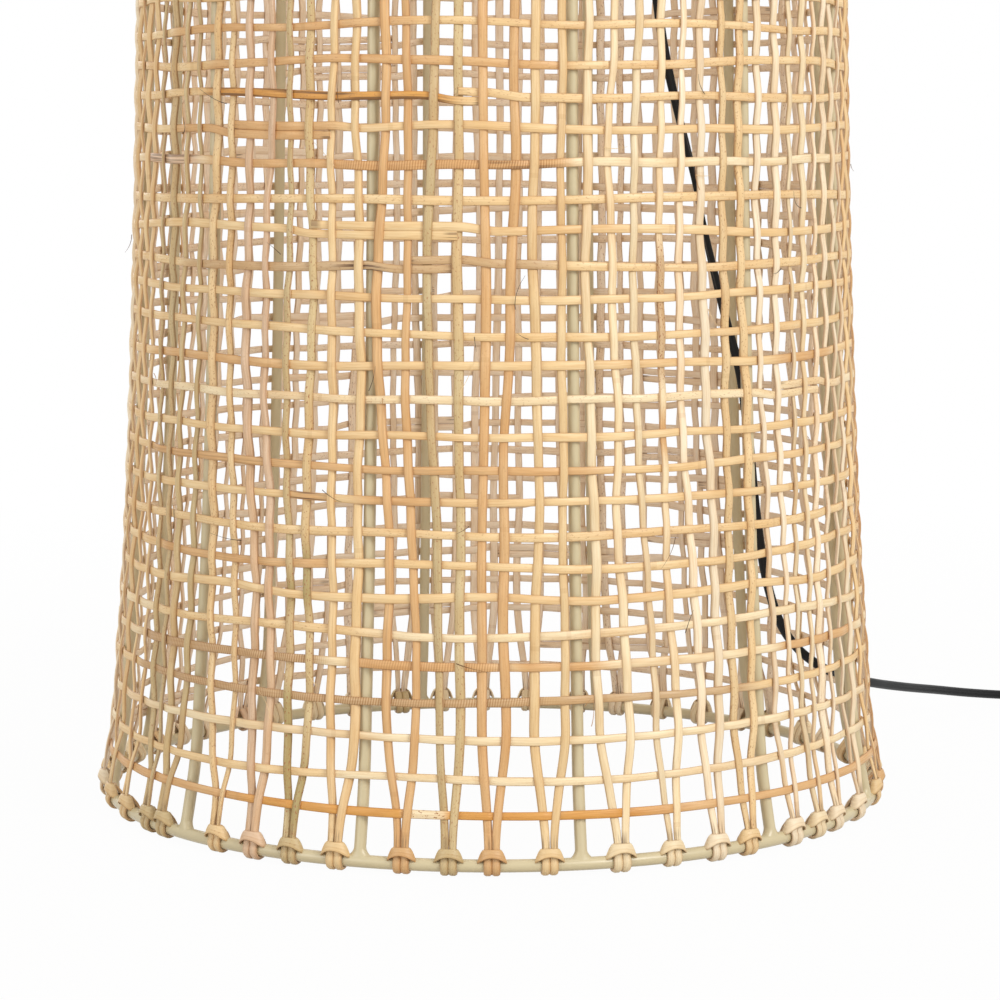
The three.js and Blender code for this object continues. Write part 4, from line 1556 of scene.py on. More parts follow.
@dataclass
class Cover:
    """The woven cover: folded canes knotted on the foot ring, and rows over and under them."""

    sweep: Sweep
    set_out: SetOut
    bays: int = 12
    knots: int = 48
    first_post_deg: float = 12.0
    ring_rod: float = 3.2 * MM
    stake_width: float = 4.4 * MM
    stake_thick: float = 1.9 * MM
    row_width: float = 4.2 * MM
    row_thick: float = 1.0 * MM
    # One edge of a cane's section from behind to the front, against half its thickness and width
    stake_edge: Outline = ((-1, -0.6), (-0.5, -0.98), (0.25, -0.9), (0.9, -0.42))
    row_edge: Outline = ((-1, -0.88), (-0.4, -1), (0.4, -1), (1, -0.86))
    stake_sway: float = 0.75 * MM
    row_sway: float = 0.75 * MM
    stake_lean: float = 0.3
    lean_length: float = 0.11
    cane_swell: float = 0.06
    row_pitch: float = 16.3 * MM
    last_row: float = 1.136
    steps: int = 4
    # The pair of stakes on a knot: its gap, and where it parts, stands evenly and starts to drift,
    # by the height where that begins and the height that it takes
    pair_gap: float = 3.9 * MM
    parting: Pair = (0.014, 0.06)
    settling: Pair = (0.07, 0.2)
    drifting: Pair = (0.02, 0.12)
    # Waves in which a stake drifts sideways, by size and length
    stake_waves: Outline = ((1.1 * MM, 0.43), (0.7 * MM, 0.21), (0.35 * MM, 0.09))
    # Waves in which a row rises and falls, by size and how many there are in a turn
    row_waves: Outline = ((0.9 * MM, 2), (0.8 * MM, 5), (0.4 * MM, 9), (0.2 * MM, 17))
    calm_rows: int = 3  # rows near the foot that wave half as much
    knot_spread: float = 0.014
    stake_foot: float = 7.4 * MM  # above the ring's middle
    pinch: float = 0.14
    lap_shift: float = 0.52  # how far a lapped end lies beside the row, against its width
    lap_ease: float = 1.5  # over how many stakes it comes to lie there
    loose_fibres: int = 75
    fibre_length: Pair = (6 * MM, 20 * MM)
    fibre_radius: float = 0.22 * MM
    fibre_colours: tuple[str, ...] = ("#6b4a2c", "#3b2a1c", "#e2c79a", "#b98d5c")
    # How strongly the stakes' lowest points take dark streaks: painted shade where they leave the knots
    stake_foot_shade: float = 0.5
    frayed: float = 0.6
    # How much the knots' tints are darkened: painted shade at the lamp's foot
    knot_painted_shade: float = 0.92
    knot_specks: float = 0.6  # against the specks of its cane
    # What is drawn at random: spans, levels to draw from, and kinds with how likely each one is
    row_girths: Pair = (0.95, 1.06)
    stake_girths: Pair = (0.88, 1.14)
    stake_tones: Pair = (0.9, 1.04)
    knot_sizes: Pair = (0.92, 1.015)
    row_jitter: float = 0.8  # how unevenly the unseen rows lie, in millimetres
    hidden_laps: tuple[int, int] = (4, 8)
    lead_spread: Pair = (0, 3)  # how far along its own pattern a cane starts
    speck_levels: tuple[float, ...] = (0.0, 0.1, 0.6)
    row_specks: tuple[float, ...] = (0, 0, 0.15, 0.4)
    stake_streaks: tuple[float, ...] = (0, 0, 0.15)
    stake_canes: tuple[tuple[Cane, float], ...] = (
        (Cane.PALE, 0.22), (Cane.CREAM, 0.2), (Cane.STRAW, 0.22), (Cane.GREEN, 0.12), (Cane.PINK, 0.1),
        (Cane.HONEY, 0.14),
    )
    row_canes: tuple[tuple[Cane, float], ...] = (
        (Cane.PALE, 0.05), (Cane.CREAM, 0.35), (Cane.STRAW, 0.6)
    )
    knot_wrap: float = 0.68  # how far a loop's middle is from the ring, against the cane's thickness
    blush: float = 0.28
    # Height and radius of the weave's middle, from the foot to the top ring
    shape: tuple[Pair, ...] = (
        (0.002, 0.2165), (0.019, 0.2129), (0.041, 0.2087), (0.085, 0.2048), (0.130, 0.2013),
        (0.216, 0.1964), (0.330, 0.1920), (0.430, 0.1893), (0.600, 0.1855), (0.850, 0.1720),
        (1.010, 0.1478), (1.105, 0.1182), (1.150, 0.1005),
    )
    # Heights of the rows that the photograph shows
    seen_rows: tuple[float, ...] = (
        0.0300, 0.0467, 0.0664, 0.0847, 0.1017, 0.1177, 0.1347, 0.1502, 0.1657, 0.1822, 0.1982, 0.2137,
        0.2315, 0.2479, 0.2643, 0.2816, 0.2955, 0.3127, 0.3280, 0.3461, 0.3622, 0.3784, 0.3944, 0.4114,
    )
    # Which of those rows are of cream cane, where the others are of straw
    cream_rows: tuple[int, ...] = (1, 2, 4, 5, 12, 19)
    # Angles of the knots that the photograph shows, from the front, and the first one's number
    seen_knots: tuple[float, ...] = (
        -73.1, -64.4, -56.7, -52.4, -40.6, -34.1, -28.0, -21.2, -12.0, -5.7,
        0.0, 7.6, 17.3, 24.8, 31.8, 37.3, 46.1, 51.8, 57.0, 64.9,
    )
    first_seen_knot: int = 24
    # The canes that are folded on those knots, and how speckled each is
    seen_canes: tuple[tuple[Cane, float], ...] = (
        (Cane.STRAW, 0.2), (Cane.STRAW, 0.1), (Cane.GREEN, 0.6), (Cane.GREEN, 0.2), (Cane.STRAW, 0.7),
        (Cane.PINK, 0.2), (Cane.GREEN, 1.0), (Cane.STRAW, 0.1), (Cane.HONEY, 0.0), (Cane.GREEN, 0.7),
        (Cane.HONEY, 0.2), (Cane.STRAW, 0.1), (Cane.CREAM, 0.0), (Cane.CREAM, 0.1), (Cane.PALE, 0.0),
        (Cane.STRAW, 0.6), (Cane.PALE, 0.0), (Cane.CREAM, 0.1), (Cane.PALE, 0.2), (Cane.PALE, 0.0),
    )
    # Where the ends of a row lap in the photograph, by row: the first stake and how many
    seen_laps: tuple[tuple[int, int, int], ...] = (
        (20, 57, 5), (17, 61, 6), (16, 65, 2), (21, 67, 1), (12, 81, 3)
    )
    hidden_lap_starts: int = 36
    patches: tuple[Patch, ...] = (
        Patch(0, -100, 100, Mark.SPECKS, 0.1, Cane.HONEY),
        Patch(0, -42, 26, Mark.SPECKS, 0.1, Cane.AMBER, 9),
        Patch(0, -12.5, -5.5, Mark.SPECKS, 2.0, Cane.CREAM, 1.5),
        Patch(3, 4, 42, Mark.SPECKS, 0.2, Cane.BROWN), Patch(1, -75, -20, Mark.SPECKS, 0.15, Cane.STRAW),
        Patch(4, 0, 18, Mark.SPECKS, 0.1, Cane.HONEY), Patch(4, 43, 72, Mark.SPECKS, 0.1, Cane.HONEY),
        Patch(3, -66, 10, Mark.RIBS, 1.0, Cane.BROWN), Patch(4, -66, -22, Mark.RIBS, 1.0, Cane.BROWN),
        Patch(4, -22, 4, Mark.RIBS, 0.8, Cane.HONEY), Patch(5, -62, -16, Mark.SPECKS, 0.4, Cane.STRAW),
        Patch(7, -60, -20, Mark.STREAKS, 0.15, Cane.HONEY),
        Patch(10, -66, 18, Mark.STREAKS, 0.2, Cane.HONEY),
        Patch(19, -50, 14, Mark.SPECKS, 0.15, Cane.HONEY),
        Patch(19, -25, 12, Mark.RIBS, 1.0, Cane.HONEY), Patch(19, -4, 12, Mark.STREAKS, 0.5, Cane.HONEY),
        Patch(19, -72, -47, Mark.STREAKS, 0.6, Cane.PINK),
        Patch(21, -50, -3, Mark.STREAKS, 0.8, Cane.AMBER),
        Patch(16, -56, 12, Mark.SPECKS, 0.4, Cane.BROWN), Patch(16, -25, -12, Mark.STREAKS, 1.0),
        Patch(9, -33, -22, Mark.STREAKS, 0.9, Cane.HONEY),
        Patch(9, -22, -5, Mark.STREAKS, 0.1, Cane.HONEY),
        Patch(13, 44, 66, Mark.SPECKS, 0.1, Cane.HONEY),
        Patch(13, -66, -28, Mark.SPECKS, 0.1, Cane.HONEY),
        Patch(20, -60, -20, Mark.SPECKS, 0.2, Cane.HONEY),
        Patch(22, -50, 14, Mark.SPECKS, 0.3, Cane.HONEY),
        Patch(23, -60, -8, Mark.SPECKS, 0.3, Cane.HONEY),
    )
    stake_patches: tuple[Patch, ...] = (
        Patch(75, 232, 312, Mark.SPECKS, 3.0, Cane.BROWN, 15),
        Patch(75, 195, 232, Mark.SPECKS, 0.3, Cane.HONEY, 15),
        Patch(60, 20, 95, Mark.SPECKS, 2.0, Cane.OLIVE, 15),
        Patch(60, 120, 150, Mark.SPECKS, 2.0, Cane.OLIVE, 15),
        Patch(61, 120, 165, Mark.SPECKS, 2.0, Cane.OLIVE, 15),
        Patch(61, 10, 60, Mark.SPECKS, 2.0, Cane.OLIVE, 15),
    )
    rng: np.random.Generator = field(default_factory=lambda: np.random.default_rng(SEED))

    def __post_init__(self) -> None:
        """Lays out the knots, the stakes and the rows."""
        heights, radii = np.array(self.shape).T
        self._heights, self._radii = heights, radii
        self._slopes = np.gradient(radii, heights)
        self.stakes = 2 * self.knots
        pitch = TURN / self.knots
        first = math.radians(self.first_post_deg)
        self.knot_angles = first + pitch * (np.arange(self.knots) + 0.5)
        self.knot_angles += self.rng.uniform(-self.knot_spread, self.knot_spread, self.knots)
        seen = slice(self.first_seen_knot, self.first_seen_knot + len(self.seen_knots))
        self.knot_angles[seen] = np.radians(self.seen_knots) - TURN / 4 + TURN
        self.even_angles = first + TURN / self.stakes * (np.arange(self.stakes) + 0.5)
        self.post_angles = first + steps_round(self.bays)
        self.drift = self.rng.normal(0, 1, (3, self.stakes)) * [[size] for size, _ in self.stake_waves]
        self.phase = self.rng.uniform(0, TURN, (3, self.stakes))
        kinds, shares = zip(*self.stake_canes, strict=True)
        self.canes = list(self.rng.choice(kinds, self.knots, p=shares))
        self.specks = self.rng.choice(self.speck_levels, self.knots)
        for knot, (cane, specks) in enumerate(self.seen_canes, self.first_seen_knot):
            self.canes[knot], self.specks[knot] = cane, specks
        self.rows = self._lay_rows()

    def build(self) -> None:
        """Makes the stakes of each bay, the rows in bands, and the knots."""
        each = self.stakes // self.bays
        outline = self._section(self.stake_edge, self.stake_width, self.stake_thick)
        for bay in range(self.bays):
            strands = [self.stake(j) for j in range(bay * each, (bay + 1) * each)]
            piece = self.sweep.along(f"cane_stakes_{bay + 1:02d}", strands, outline, CANE)
            seat(piece, "rattan_cane", f"woven_panel_{bay + 1:02d}")
        bands = np.array_split(np.arange(len(self.rows)), 4)
        flat = self._section(self.row_edge, self.row_width, self.row_thick)
        for i, band in enumerate(bands, 1):
            piece = self.sweep.along(f"cane_rows_{i:02d}", [self.row(k) for k in band], flat, CANE)
            seat(piece, "rattan_cane")
        self._knots(outline)
        self._fibres()

    def radius(self, height: Values) -> Array:
        """Finds how far the weave's middle stands from the axis, on a smooth curve.

        Args:
            height: the height above the floor.

        Returns:
            The radius.
        """
        z = np.clip(height, self._heights[0], self._heights[-1])
        i = np.clip(np.searchsorted(self._heights, z) - 1, 0, len(self._heights) - 2)
        span = self._heights[i + 1] - self._heights[i]
        t = (z - self._heights[i]) / span
        start, end = self._radii[i], self._radii[i + 1]
        bend = self._slopes[i] * span * t * (1 - t) ** 2 - self._slopes[i + 1] * span * t * t * (1 - t)
        return start + (end - start) * t * t * (3 - 2 * t) + bend

    def outward(self, angle: Array, height: Array) -> Array:
        """Finds the weave's outward direction.

        Args:
            angle: the angles from +X.
            height: the heights there.

        Returns:
            A unit direction for each.
        """
        rise = 1 * MM
        slope = (self.radius(height + rise) - self.radius(height - rise)) / (2 * rise)
        out = around(angle, 1.0, -slope)
        return out / np.linalg.norm(out, axis=1, keepdims=True)

    def stake_angle(self, stake: Array | int, height: Values) -> Array:
        """Returns the angles of stakes at a height.

        They rise as a pair from their knot, part by the third row, and then stand evenly but for
        a drift of their own.

        Args:
            stake: the stakes' numbers.
            height: the height above the floor.

        Returns:
            The angles from +X.
        """
        knot = np.asarray(stake) // 2
        side = np.asarray(stake) % 2 * 2 - 1
        beside = (knot + side) % self.knots
        at = self.knot_angles[knot]
        gap = np.abs((self.knot_angles[beside] - at + math.pi) % TURN - math.pi)
        close = at + side * self.pair_gap / 2 / self.radius(height)
        parted = at + side * gap / 4
        stages = (self.parting, self.settling, self.drifting)
        spread, settled, free = (eased((height - start) / over) for start, over in stages)
        angle = close + (parted - close) * spread
        angle = angle + (self.even_angles[stake] - angle) * settled
        waves = zip(self.drift[:, stake], self.phase[:, stake], self.stake_waves, strict=True)
        sway = sum(size * np.sin(TURN * height / long + phase) for size, phase, (_, long) in waves)
        return angle + sway * free / self.radius(height)

    def row_height(self, row: Row, angle: Values) -> Array:
        """Finds the height of a row, with its own waviness.

        Args:
            row: the row.
            angle: the angle from +X.

        Returns:
            The height above the floor.
        """
        waves = zip(*row.waves, self.row_waves, strict=True)
        return row.height + sum(size * np.sin(k * np.asarray(angle) + p) for size, p, (_, k) in waves)

    def _lay_rows(self) -> list[Row]:
        """Lays out the rows: as the photograph shows them, then on up to the top.

        Returns:
            The rows from the foot up.
        """
        heights = list(self.seen_rows)
        while heights[-1] + self.row_pitch < self.last_row:
            heights.append(heights[-1] + self.row_pitch + self.rng.normal(0, self.row_jitter) * MM)
        kinds, shares = zip(*self.row_canes, strict=True)
        canes = self.rng.choice(kinds, len(heights), p=shares)
        canes[: len(self.seen_rows)] = Cane.STRAW
        canes[list(self.cream_rows)] = Cane.CREAM
        laps = {row: (start, lap) for row, start, lap in self.seen_laps}
        rows = []
        for i, height in enumerate(heights):
            sizes = self.rng.normal(0, 1, 4) * [size for size, _ in self.row_waves]
            if i < self.calm_rows:
                sizes = sizes / 2
            start = int(self.rng.integers(0, self.hidden_lap_starts))
            hidden = (start, int(self.rng.integers(*self.hidden_laps)))
            start, lap = laps.get(i, hidden)
            waves = np.array([sizes, self.rng.uniform(0, TURN, 4)])
            rows.append(Row(height, canes[i], start, lap, waves, self.rng.choice(self.row_specks)))
        return rows

    @staticmethod
    def _over(row: int, stake: Array | int) -> Array | int:
        """Returns 1 where a row passes outside a stake and -1 where it passes inside."""
        return 1 - 2 * ((row + stake) % 2)

    def row(self, number: int) -> Strand:
        """Runs one row round, over and under the stakes.

        Args:
            number: the row's number from the foot.

        Returns:
            Its strand.
        """
        row = self.rows[number]
        count = self.stakes + row.lap
        order = row.start + np.arange(count + 1)
        stake = order % self.stakes
        angles = np.unwrap(self.stake_angle(stake, row.height))
        at = np.arange(count * self.steps + 1) / self.steps
        angle = np.interp(at, np.arange(count + 1), angles)
        last = at.astype(int)
        sway = self.row_sway * self._over(number, stake)[last] * np.cos(math.pi * (at - last))
        begins, ends = row.lap + self.lap_ease - at, at - self.stakes + self.lap_ease
        lapped = eased(begins / self.lap_ease) - eased(ends / self.lap_ease)
        height = self.row_height(row, angle) + lapped * self.row_width * self.lap_shift
        out = self.outward(angle, height)
        marks = np.zeros((len(angle), 3))
        marks[:, Mark.SPECKS.value] = row.specks
        marks[[0, 1, -2, -1], Mark.STREAKS.value] = self.frayed
        tints = self._drifting(row.cane, angle * 3, row.waves[1])
        front = np.degrees((angle + TURN / 4 + math.pi) % TURN - math.pi)
        self._patch(self.patches, number, front, marks, tints)
        return Strand(
            around(angle, self.radius(height), height) + out * sway[:, None], out,
            girth=self.rng.uniform(*self.row_girths) * self._swell(len(angle)), tint=tints, marks=marks,
            lead=self.rng.uniform(*self.lead_spread),
        )

    def stake(self, number: int) -> Strand:
        """Runs one stake from its knot up over the top ring.

        Args:
            number: the stake's number.

        Returns:
            Its strand.
        """
        crossings = [Place.of("foot_ring").middle[2] + self.stake_foot]
        sways = [0.0]
        for i, row in enumerate(self.rows):
            angle = self.stake_angle(number, row.height)
            crossings.append(float(self.row_height(row, angle)))
            sways.append(-self.stake_sway * self._over(i, number))
        crossings.append(Place.of("top_ring").middle[2])
        sways.append(0.0)
        at = np.arange((len(crossings) - 1) * self.steps + 1) / self.steps
        low = np.minimum(at.astype(int), len(crossings) - 2)
        share = at - low
        crossing, sway = np.array(crossings), np.array(sways)
        height = crossing[low] + (crossing[low + 1] - crossing[low]) * share
        mean, half = (sway[low] + sway[low + 1]) / 2, (sway[low] - sway[low + 1]) / 2
        offset = mean + half * np.cos(math.pi * share)
        angle = self.stake_angle(number, height)
        out = self.outward(angle, height)
        points = around(angle, self.radius(height), height) + out * offset[:, None]
        lean = self.stake_lean * np.sin(height / self.lean_length + self.phase[0, number])
        out = out + around(angle + TURN / 4, lean, 0.0)
        hook, hook_out = self._hook(float(angle[-1]))
        knot = number // 2
        run = np.vstack([points, hook])
        marks = np.zeros((len(run), 3))
        marks[:, Mark.SPECKS.value] = self.specks[knot]
        marks[:, Mark.STREAKS.value] = self.rng.choice(self.stake_streaks)
        # The lowest points of a stake get dark streaks as painted shade under its knot's hood
        marks[:2, Mark.STREAKS.value] = self.stake_foot_shade
        pinched = 1 - self.pinch * np.exp(-np.arange(len(run)) / 3)
        tone = np.array((*[self.rng.uniform(*self.stake_tones)] * 3, 1.0))
        tints = self._drifting(self.canes[knot], run[:, 2] / 0.09, self.phase[:, number]) * tone
        self._patch(self.stake_patches, number, run[:, 2] / MM, marks, tints)
        return Strand(
            run, np.vstack([out, hook_out]),
            girth=self.rng.uniform(*self.stake_girths) * self._swell(len(run)) * pinched, tint=tints,
            marks=marks, lead=self.rng.uniform(*self.lead_spread),
        )

    def _drifting(self, cane: Cane, at: Array, phases: Array) -> Array:
        """Lets a cane's colour drift towards honey in places.

        Args:
            cane: its kind.
            at: where its points lie, as an angle of the drift's slower wave.
            phases: where the two waves start.

        Returns:
            A tint for each point.
        """
        share = self.blush * eased(np.sin(at + phases[0]) + np.sin(2.6 * at + phases[1]) - 0.3)
        own, honey = np.array(linear(cane.value)), np.array(linear(Cane.HONEY.value))
        return own + (honey - own) * share[:, None]

    @staticmethod
    def _patch(patches: Sequence[Patch], number: int, at: Array, marks: Array, tints: Array) -> None:
        """Lays the patches of one cane over its marks and tints, with soft ends.

        Args:
            patches: the patches of all rows or of all stakes.
            number: the cane's number.
            at: where its points lie, as the patches count it.
            marks: its marks, which change.
            tints: its tints, which change.
        """
        for patch in patches:
            if patch.number == number:
                share = eased((at - patch.start) / patch.fade) * eased((patch.end - at) / patch.fade)
                slot = patch.mark.value
                marks[:, slot] += (patch.strength - marks[:, slot]) * share
                if patch.cane:
                    tints += (np.array(linear(patch.cane.value)) - tints) * share[:, None]

    def _swell(self, count: int) -> Array:
        """Returns how a cane's width wanders along it, for so many points."""
        at = np.arange(count) / self.steps
        return 1 + self.cane_swell * np.sin(at / 1.7 + self.rng.uniform(0, TURN))

    def _hook(self, angle: float) -> tuple[Array, Array]:
        """Bends a stake's end over the top ring and down inside it.

        Args:
            angle: the stake's angle at the top.

        Returns:
            The points and the directions that they face.
        """
        ring = Place.of("top_ring")
        middle = ring.radius - self.ring_rod
        reach = self.radius(ring.middle[2]) - middle
        bend = np.radians(np.arange(18, 181, 18))
        across = np.concatenate([np.cos(bend), [-1.0, -0.8]]) * reach
        rise = np.concatenate([np.sin(bend) * reach, [-4 * MM, -9 * MM]])
        out = np.concatenate([np.cos(bend), [-1.0, -0.95]])
        up = np.concatenate([np.sin(bend), [0.0, 0.3]])
        return around(angle, middle + across, ring.middle[2] + rise), around(angle, out, up)

    @staticmethod
    def _section(edge: Outline, width: float, thick: float) -> Outline:
        """Draws a cane's section, which is alike at both edges.

        Args:
            edge: one edge from behind to the front, against half the thickness and half the width.
            width: how wide the cane is.
            thick: how thick it is.

        Returns:
            Its outline.
        """
        lower = [(out * thick / 2, across * width / 2) for out, across in edge]
        return [*lower, *((x, -y) for x, y in reversed(lower))]

    def _knots(self, section: Outline) -> None:
        """Sets the knots out on the foot ring.

        Args:
            section: the section of the folded canes.
        """
        ring = Place.of("foot_ring")
        middle = ring.radius - self.ring_rod
        places = around(self.knot_angles, middle, ring.middle[2])
        marks = np.zeros((self.knots, 3))
        marks[:, Mark.SPECKS.value] = self.specks * self.knot_specks
        tints = np.array([linear(cane.value) for cane in self.canes])
        knot = Knot(self.sweep, section, self.ring_rod + self.stake_thick * self.knot_wrap).build()
        # The knots are set out darker than their canes, as painted shade at the lamp's foot
        knots = self.set_out.on(
            "cane_knots", knot, places, self.knot_angles, CANE,
            sizes=self.rng.uniform(*self.knot_sizes, self.knots),
            tints=tints * (*[self.knot_painted_shade] * 3, 1.0), marks=marks,
        )
        seat(knots, "rattan_cane")

    def _fibres(self) -> None:
        """Lets a few loose fibres stand off the canes, as peeled cane sheds them."""
        strands = []
        share = np.linspace(0, 1, 7)
        for _ in range(self.loose_fibres):
            angle = self.rng.normal(0, 0.12) * TURN - TURN / 4
            heights = (0.03, 0.5) if self.rng.random() < 0.7 else (0.5, 1.1)
            height = self.rng.uniform(*heights)
            out = self.outward(angle, height)[0]
            side = around(angle + TURN / 4, 1.0, 0.0)[0]
            start = around(angle, self.radius(height), height)[0]
            long = self.rng.uniform(*self.fibre_length)
            lean, bow = self.rng.uniform(-1, 1, 2)
            way = side * math.copysign(1 - abs(lean), bow) + np.array((0.0, 0.0, lean))
            run = start + out * (self.stake_thick + share**2 * long * 0.25)[:, None]
            run = run + way * (share * long)[:, None]
            run = run + np.cross(out, way) * (share**2 * bow * long * 0.5)[:, None]
            tint = str(self.rng.choice(self.fibre_colours))
            strands.append(Strand(run, out, girth=1 - 0.7 * share, tint=tint))
        piece = self.sweep.along("cane_loose_fibres", strands, circle(self.fibre_radius, 5), CANE)
        seat(piece, "rattan_cane")


# The steel cage


@dataclass
class Cage:
    """The welded cage: two rings, twelve posts and the spider's three arms with its hub."""

    sweep: Sweep
    set_out: SetOut
    cover: Cover
    ring_rod: float = 3.2 * MM
    post_rod: float = 3.0 * MM
    arm_rod: float = 2.5 * MM
    post_inset: float = 5 * MM
    weld_height: float = 4 * MM
    weld_depth: float = 1.2 * MM  # how far it reaches into the ring
    weld_spread: float = 3.6 * MM
    arms: int = 3
    arm_flare: float = 0.35
    hub: Turning = Turning(
        "hub_plate", "spider_hub", POWDER_COAT, "painted_steel", 0.5 * MM,
        ((0, 5.2, 0, 0), (1, 0, 0, 0), (1, 0, 1, 0), (0, 5.2, 1, 0)),
    )
    post_step: float = 10 * MM

    def build(self) -> None:
        """Makes the rings, the posts, the arms and the hub."""
        for node, name, way in (("foot_ring", "ring_foot", 1), ("top_ring", "ring_top", -1)):
            self._ring(node, name)
            self._welds(node, f"{name}_welds", way)
        for i in range(self.cover.bays):
            self._post(i)
        self._spider()

    def _ring(self, node: str, name: str) -> None:
        """Bends one ring of rod.

        Args:
            node: the ring's CAD node.
            name: the piece's name.
        """
        place = Place.of(node)
        radius = place.radius - self.ring_rod
        points = around(steps_round(192), radius, place.middle[2])
        strand = Strand(points, points * (1, 1, 0), closed=True)
        piece = self.sweep.along(name, [strand], circle(self.ring_rod, 20), POWDER_COAT)
        seat(piece, "painted_steel", node)

    def _welds(self, node: str, name: str, way: int) -> None:
        """Sets a smooth weld where each post meets a ring.

        Args:
            node: the ring's CAD node.
            name: the piece's name.
            way: 1 where the posts rise from the ring, -1 where they hang below it.
        """
        place = Place.of(node)
        edge = place.middle[2] + way * self.ring_rod
        reach = float(self.cover.radius(edge)) - self.post_inset
        higher = float(self.cover.radius(edge + way * self.weld_height)) - self.post_inset
        slope = (higher - reach) / self.weld_height
        build = bmesh.new()
        loops = []
        for share in np.linspace(0, 1, 9):
            across = self.post_rod + (0.06 - 0.12 * share**4) * MM
            along = across + self.weld_spread * (1 - share) ** 2.4
            rise = share * (self.weld_height + self.weld_depth) - self.weld_depth
            ring = [
                (across * math.cos(a) + slope * rise, along * math.sin(a), way * (self.ring_rod + rise))
                for a in steps_round(20)
            ]
            loops.append([build.verts.new(point) for point in ring])
        skin(build, loops)
        build.faces.new(loops[0])
        build.faces.new(loops[-1])
        saddle = mesh_piece("saddle", build, POWDER_COAT)
        angles = self.cover.post_angles
        places = around(angles, reach, place.middle[2])
        piece = self.set_out.on(name, saddle, places, angles, POWDER_COAT)
        seat(piece, "painted_steel")

    def _post(self, number: int) -> None:
        """Runs one post from ring to ring.

        Args:
            number: the post's number from 0.
        """
        foot, top = Place.of("foot_ring").middle[2], Place.of("top_ring").middle[2]
        angle = self.cover.post_angles[number]
        height = np.linspace(foot + 1 * MM, top - 1 * MM, round((top - foot) / self.post_step))
        reach = self.cover.radius(height) - self.post_inset
        strand = Strand(around(angle, reach, height), around(angle, 1.0, 0.0))
        piece = self.sweep.along(
            f"rod_post_{number + 1:02d}", [strand], circle(self.post_rod, 20), POWDER_COAT
        )
        seat(piece, "painted_steel", f"post_{number + 1:02d}")

    def _spider(self) -> None:
        """Makes the hub plate and its three arms, which are welded to posts."""
        self.hub.build()
        hub = Place.of("spider_hub")
        radius, height = hub.radius, hub.middle[2]
        end = self.cover.radius(height) - self.post_inset
        for i, angle in enumerate(self.cover.post_angles[:: self.cover.bays // self.arms]):
            near = np.array((0, 1.2, 2.4, 3.6, 5, 8)) * MM
            span = np.linspace(radius + 8 * MM, end - 12 * MM, 8)
            reach = np.concatenate([radius - 4 * MM + near, span, (end - near)[::-1]])
            weld = np.minimum(reach - radius, end - self.post_rod - reach)
            girth = 1 + self.arm_flare * np.exp(-np.maximum(weld, 0) / (0.4 * self.weld_height))
            strand = Strand(around(angle, reach, height), (0.0, 0.0, 1.0), girth=girth)
            piece = self.sweep.along(
                f"rod_arm_{i + 1:02d}", [strand], circle(self.arm_rod, 16), POWDER_COAT
            )
            seat(piece, "painted_steel", f"spider_arm_{i + 1:02d}")


# The lampholder and the bulb


def helix(radius: float, low: float, high: float, pitch: float, steps: int = 28) -> Strand:
    """Runs a thread's crest round +Z.

    Args:
        radius: its radius.
        low: the height where it starts.
        high: the height where it ends.
        pitch: the rise in one turn.
        steps: the steps in one turn.

    Returns:
        Its strand, thinned out at both ends.
    """
    turns = (high - low) / pitch
    share = np.linspace(0, 1, round(turns * steps) + 1)
    angle = share * turns * TURN
    points = around(angle, radius, low + share * (high - low))
    ends = np.minimum(share, 1 - share) * turns
    return Strand(points, around(angle, 1.0, 0.0), girth=0.25 + 0.75 * eased(ends / 0.4))


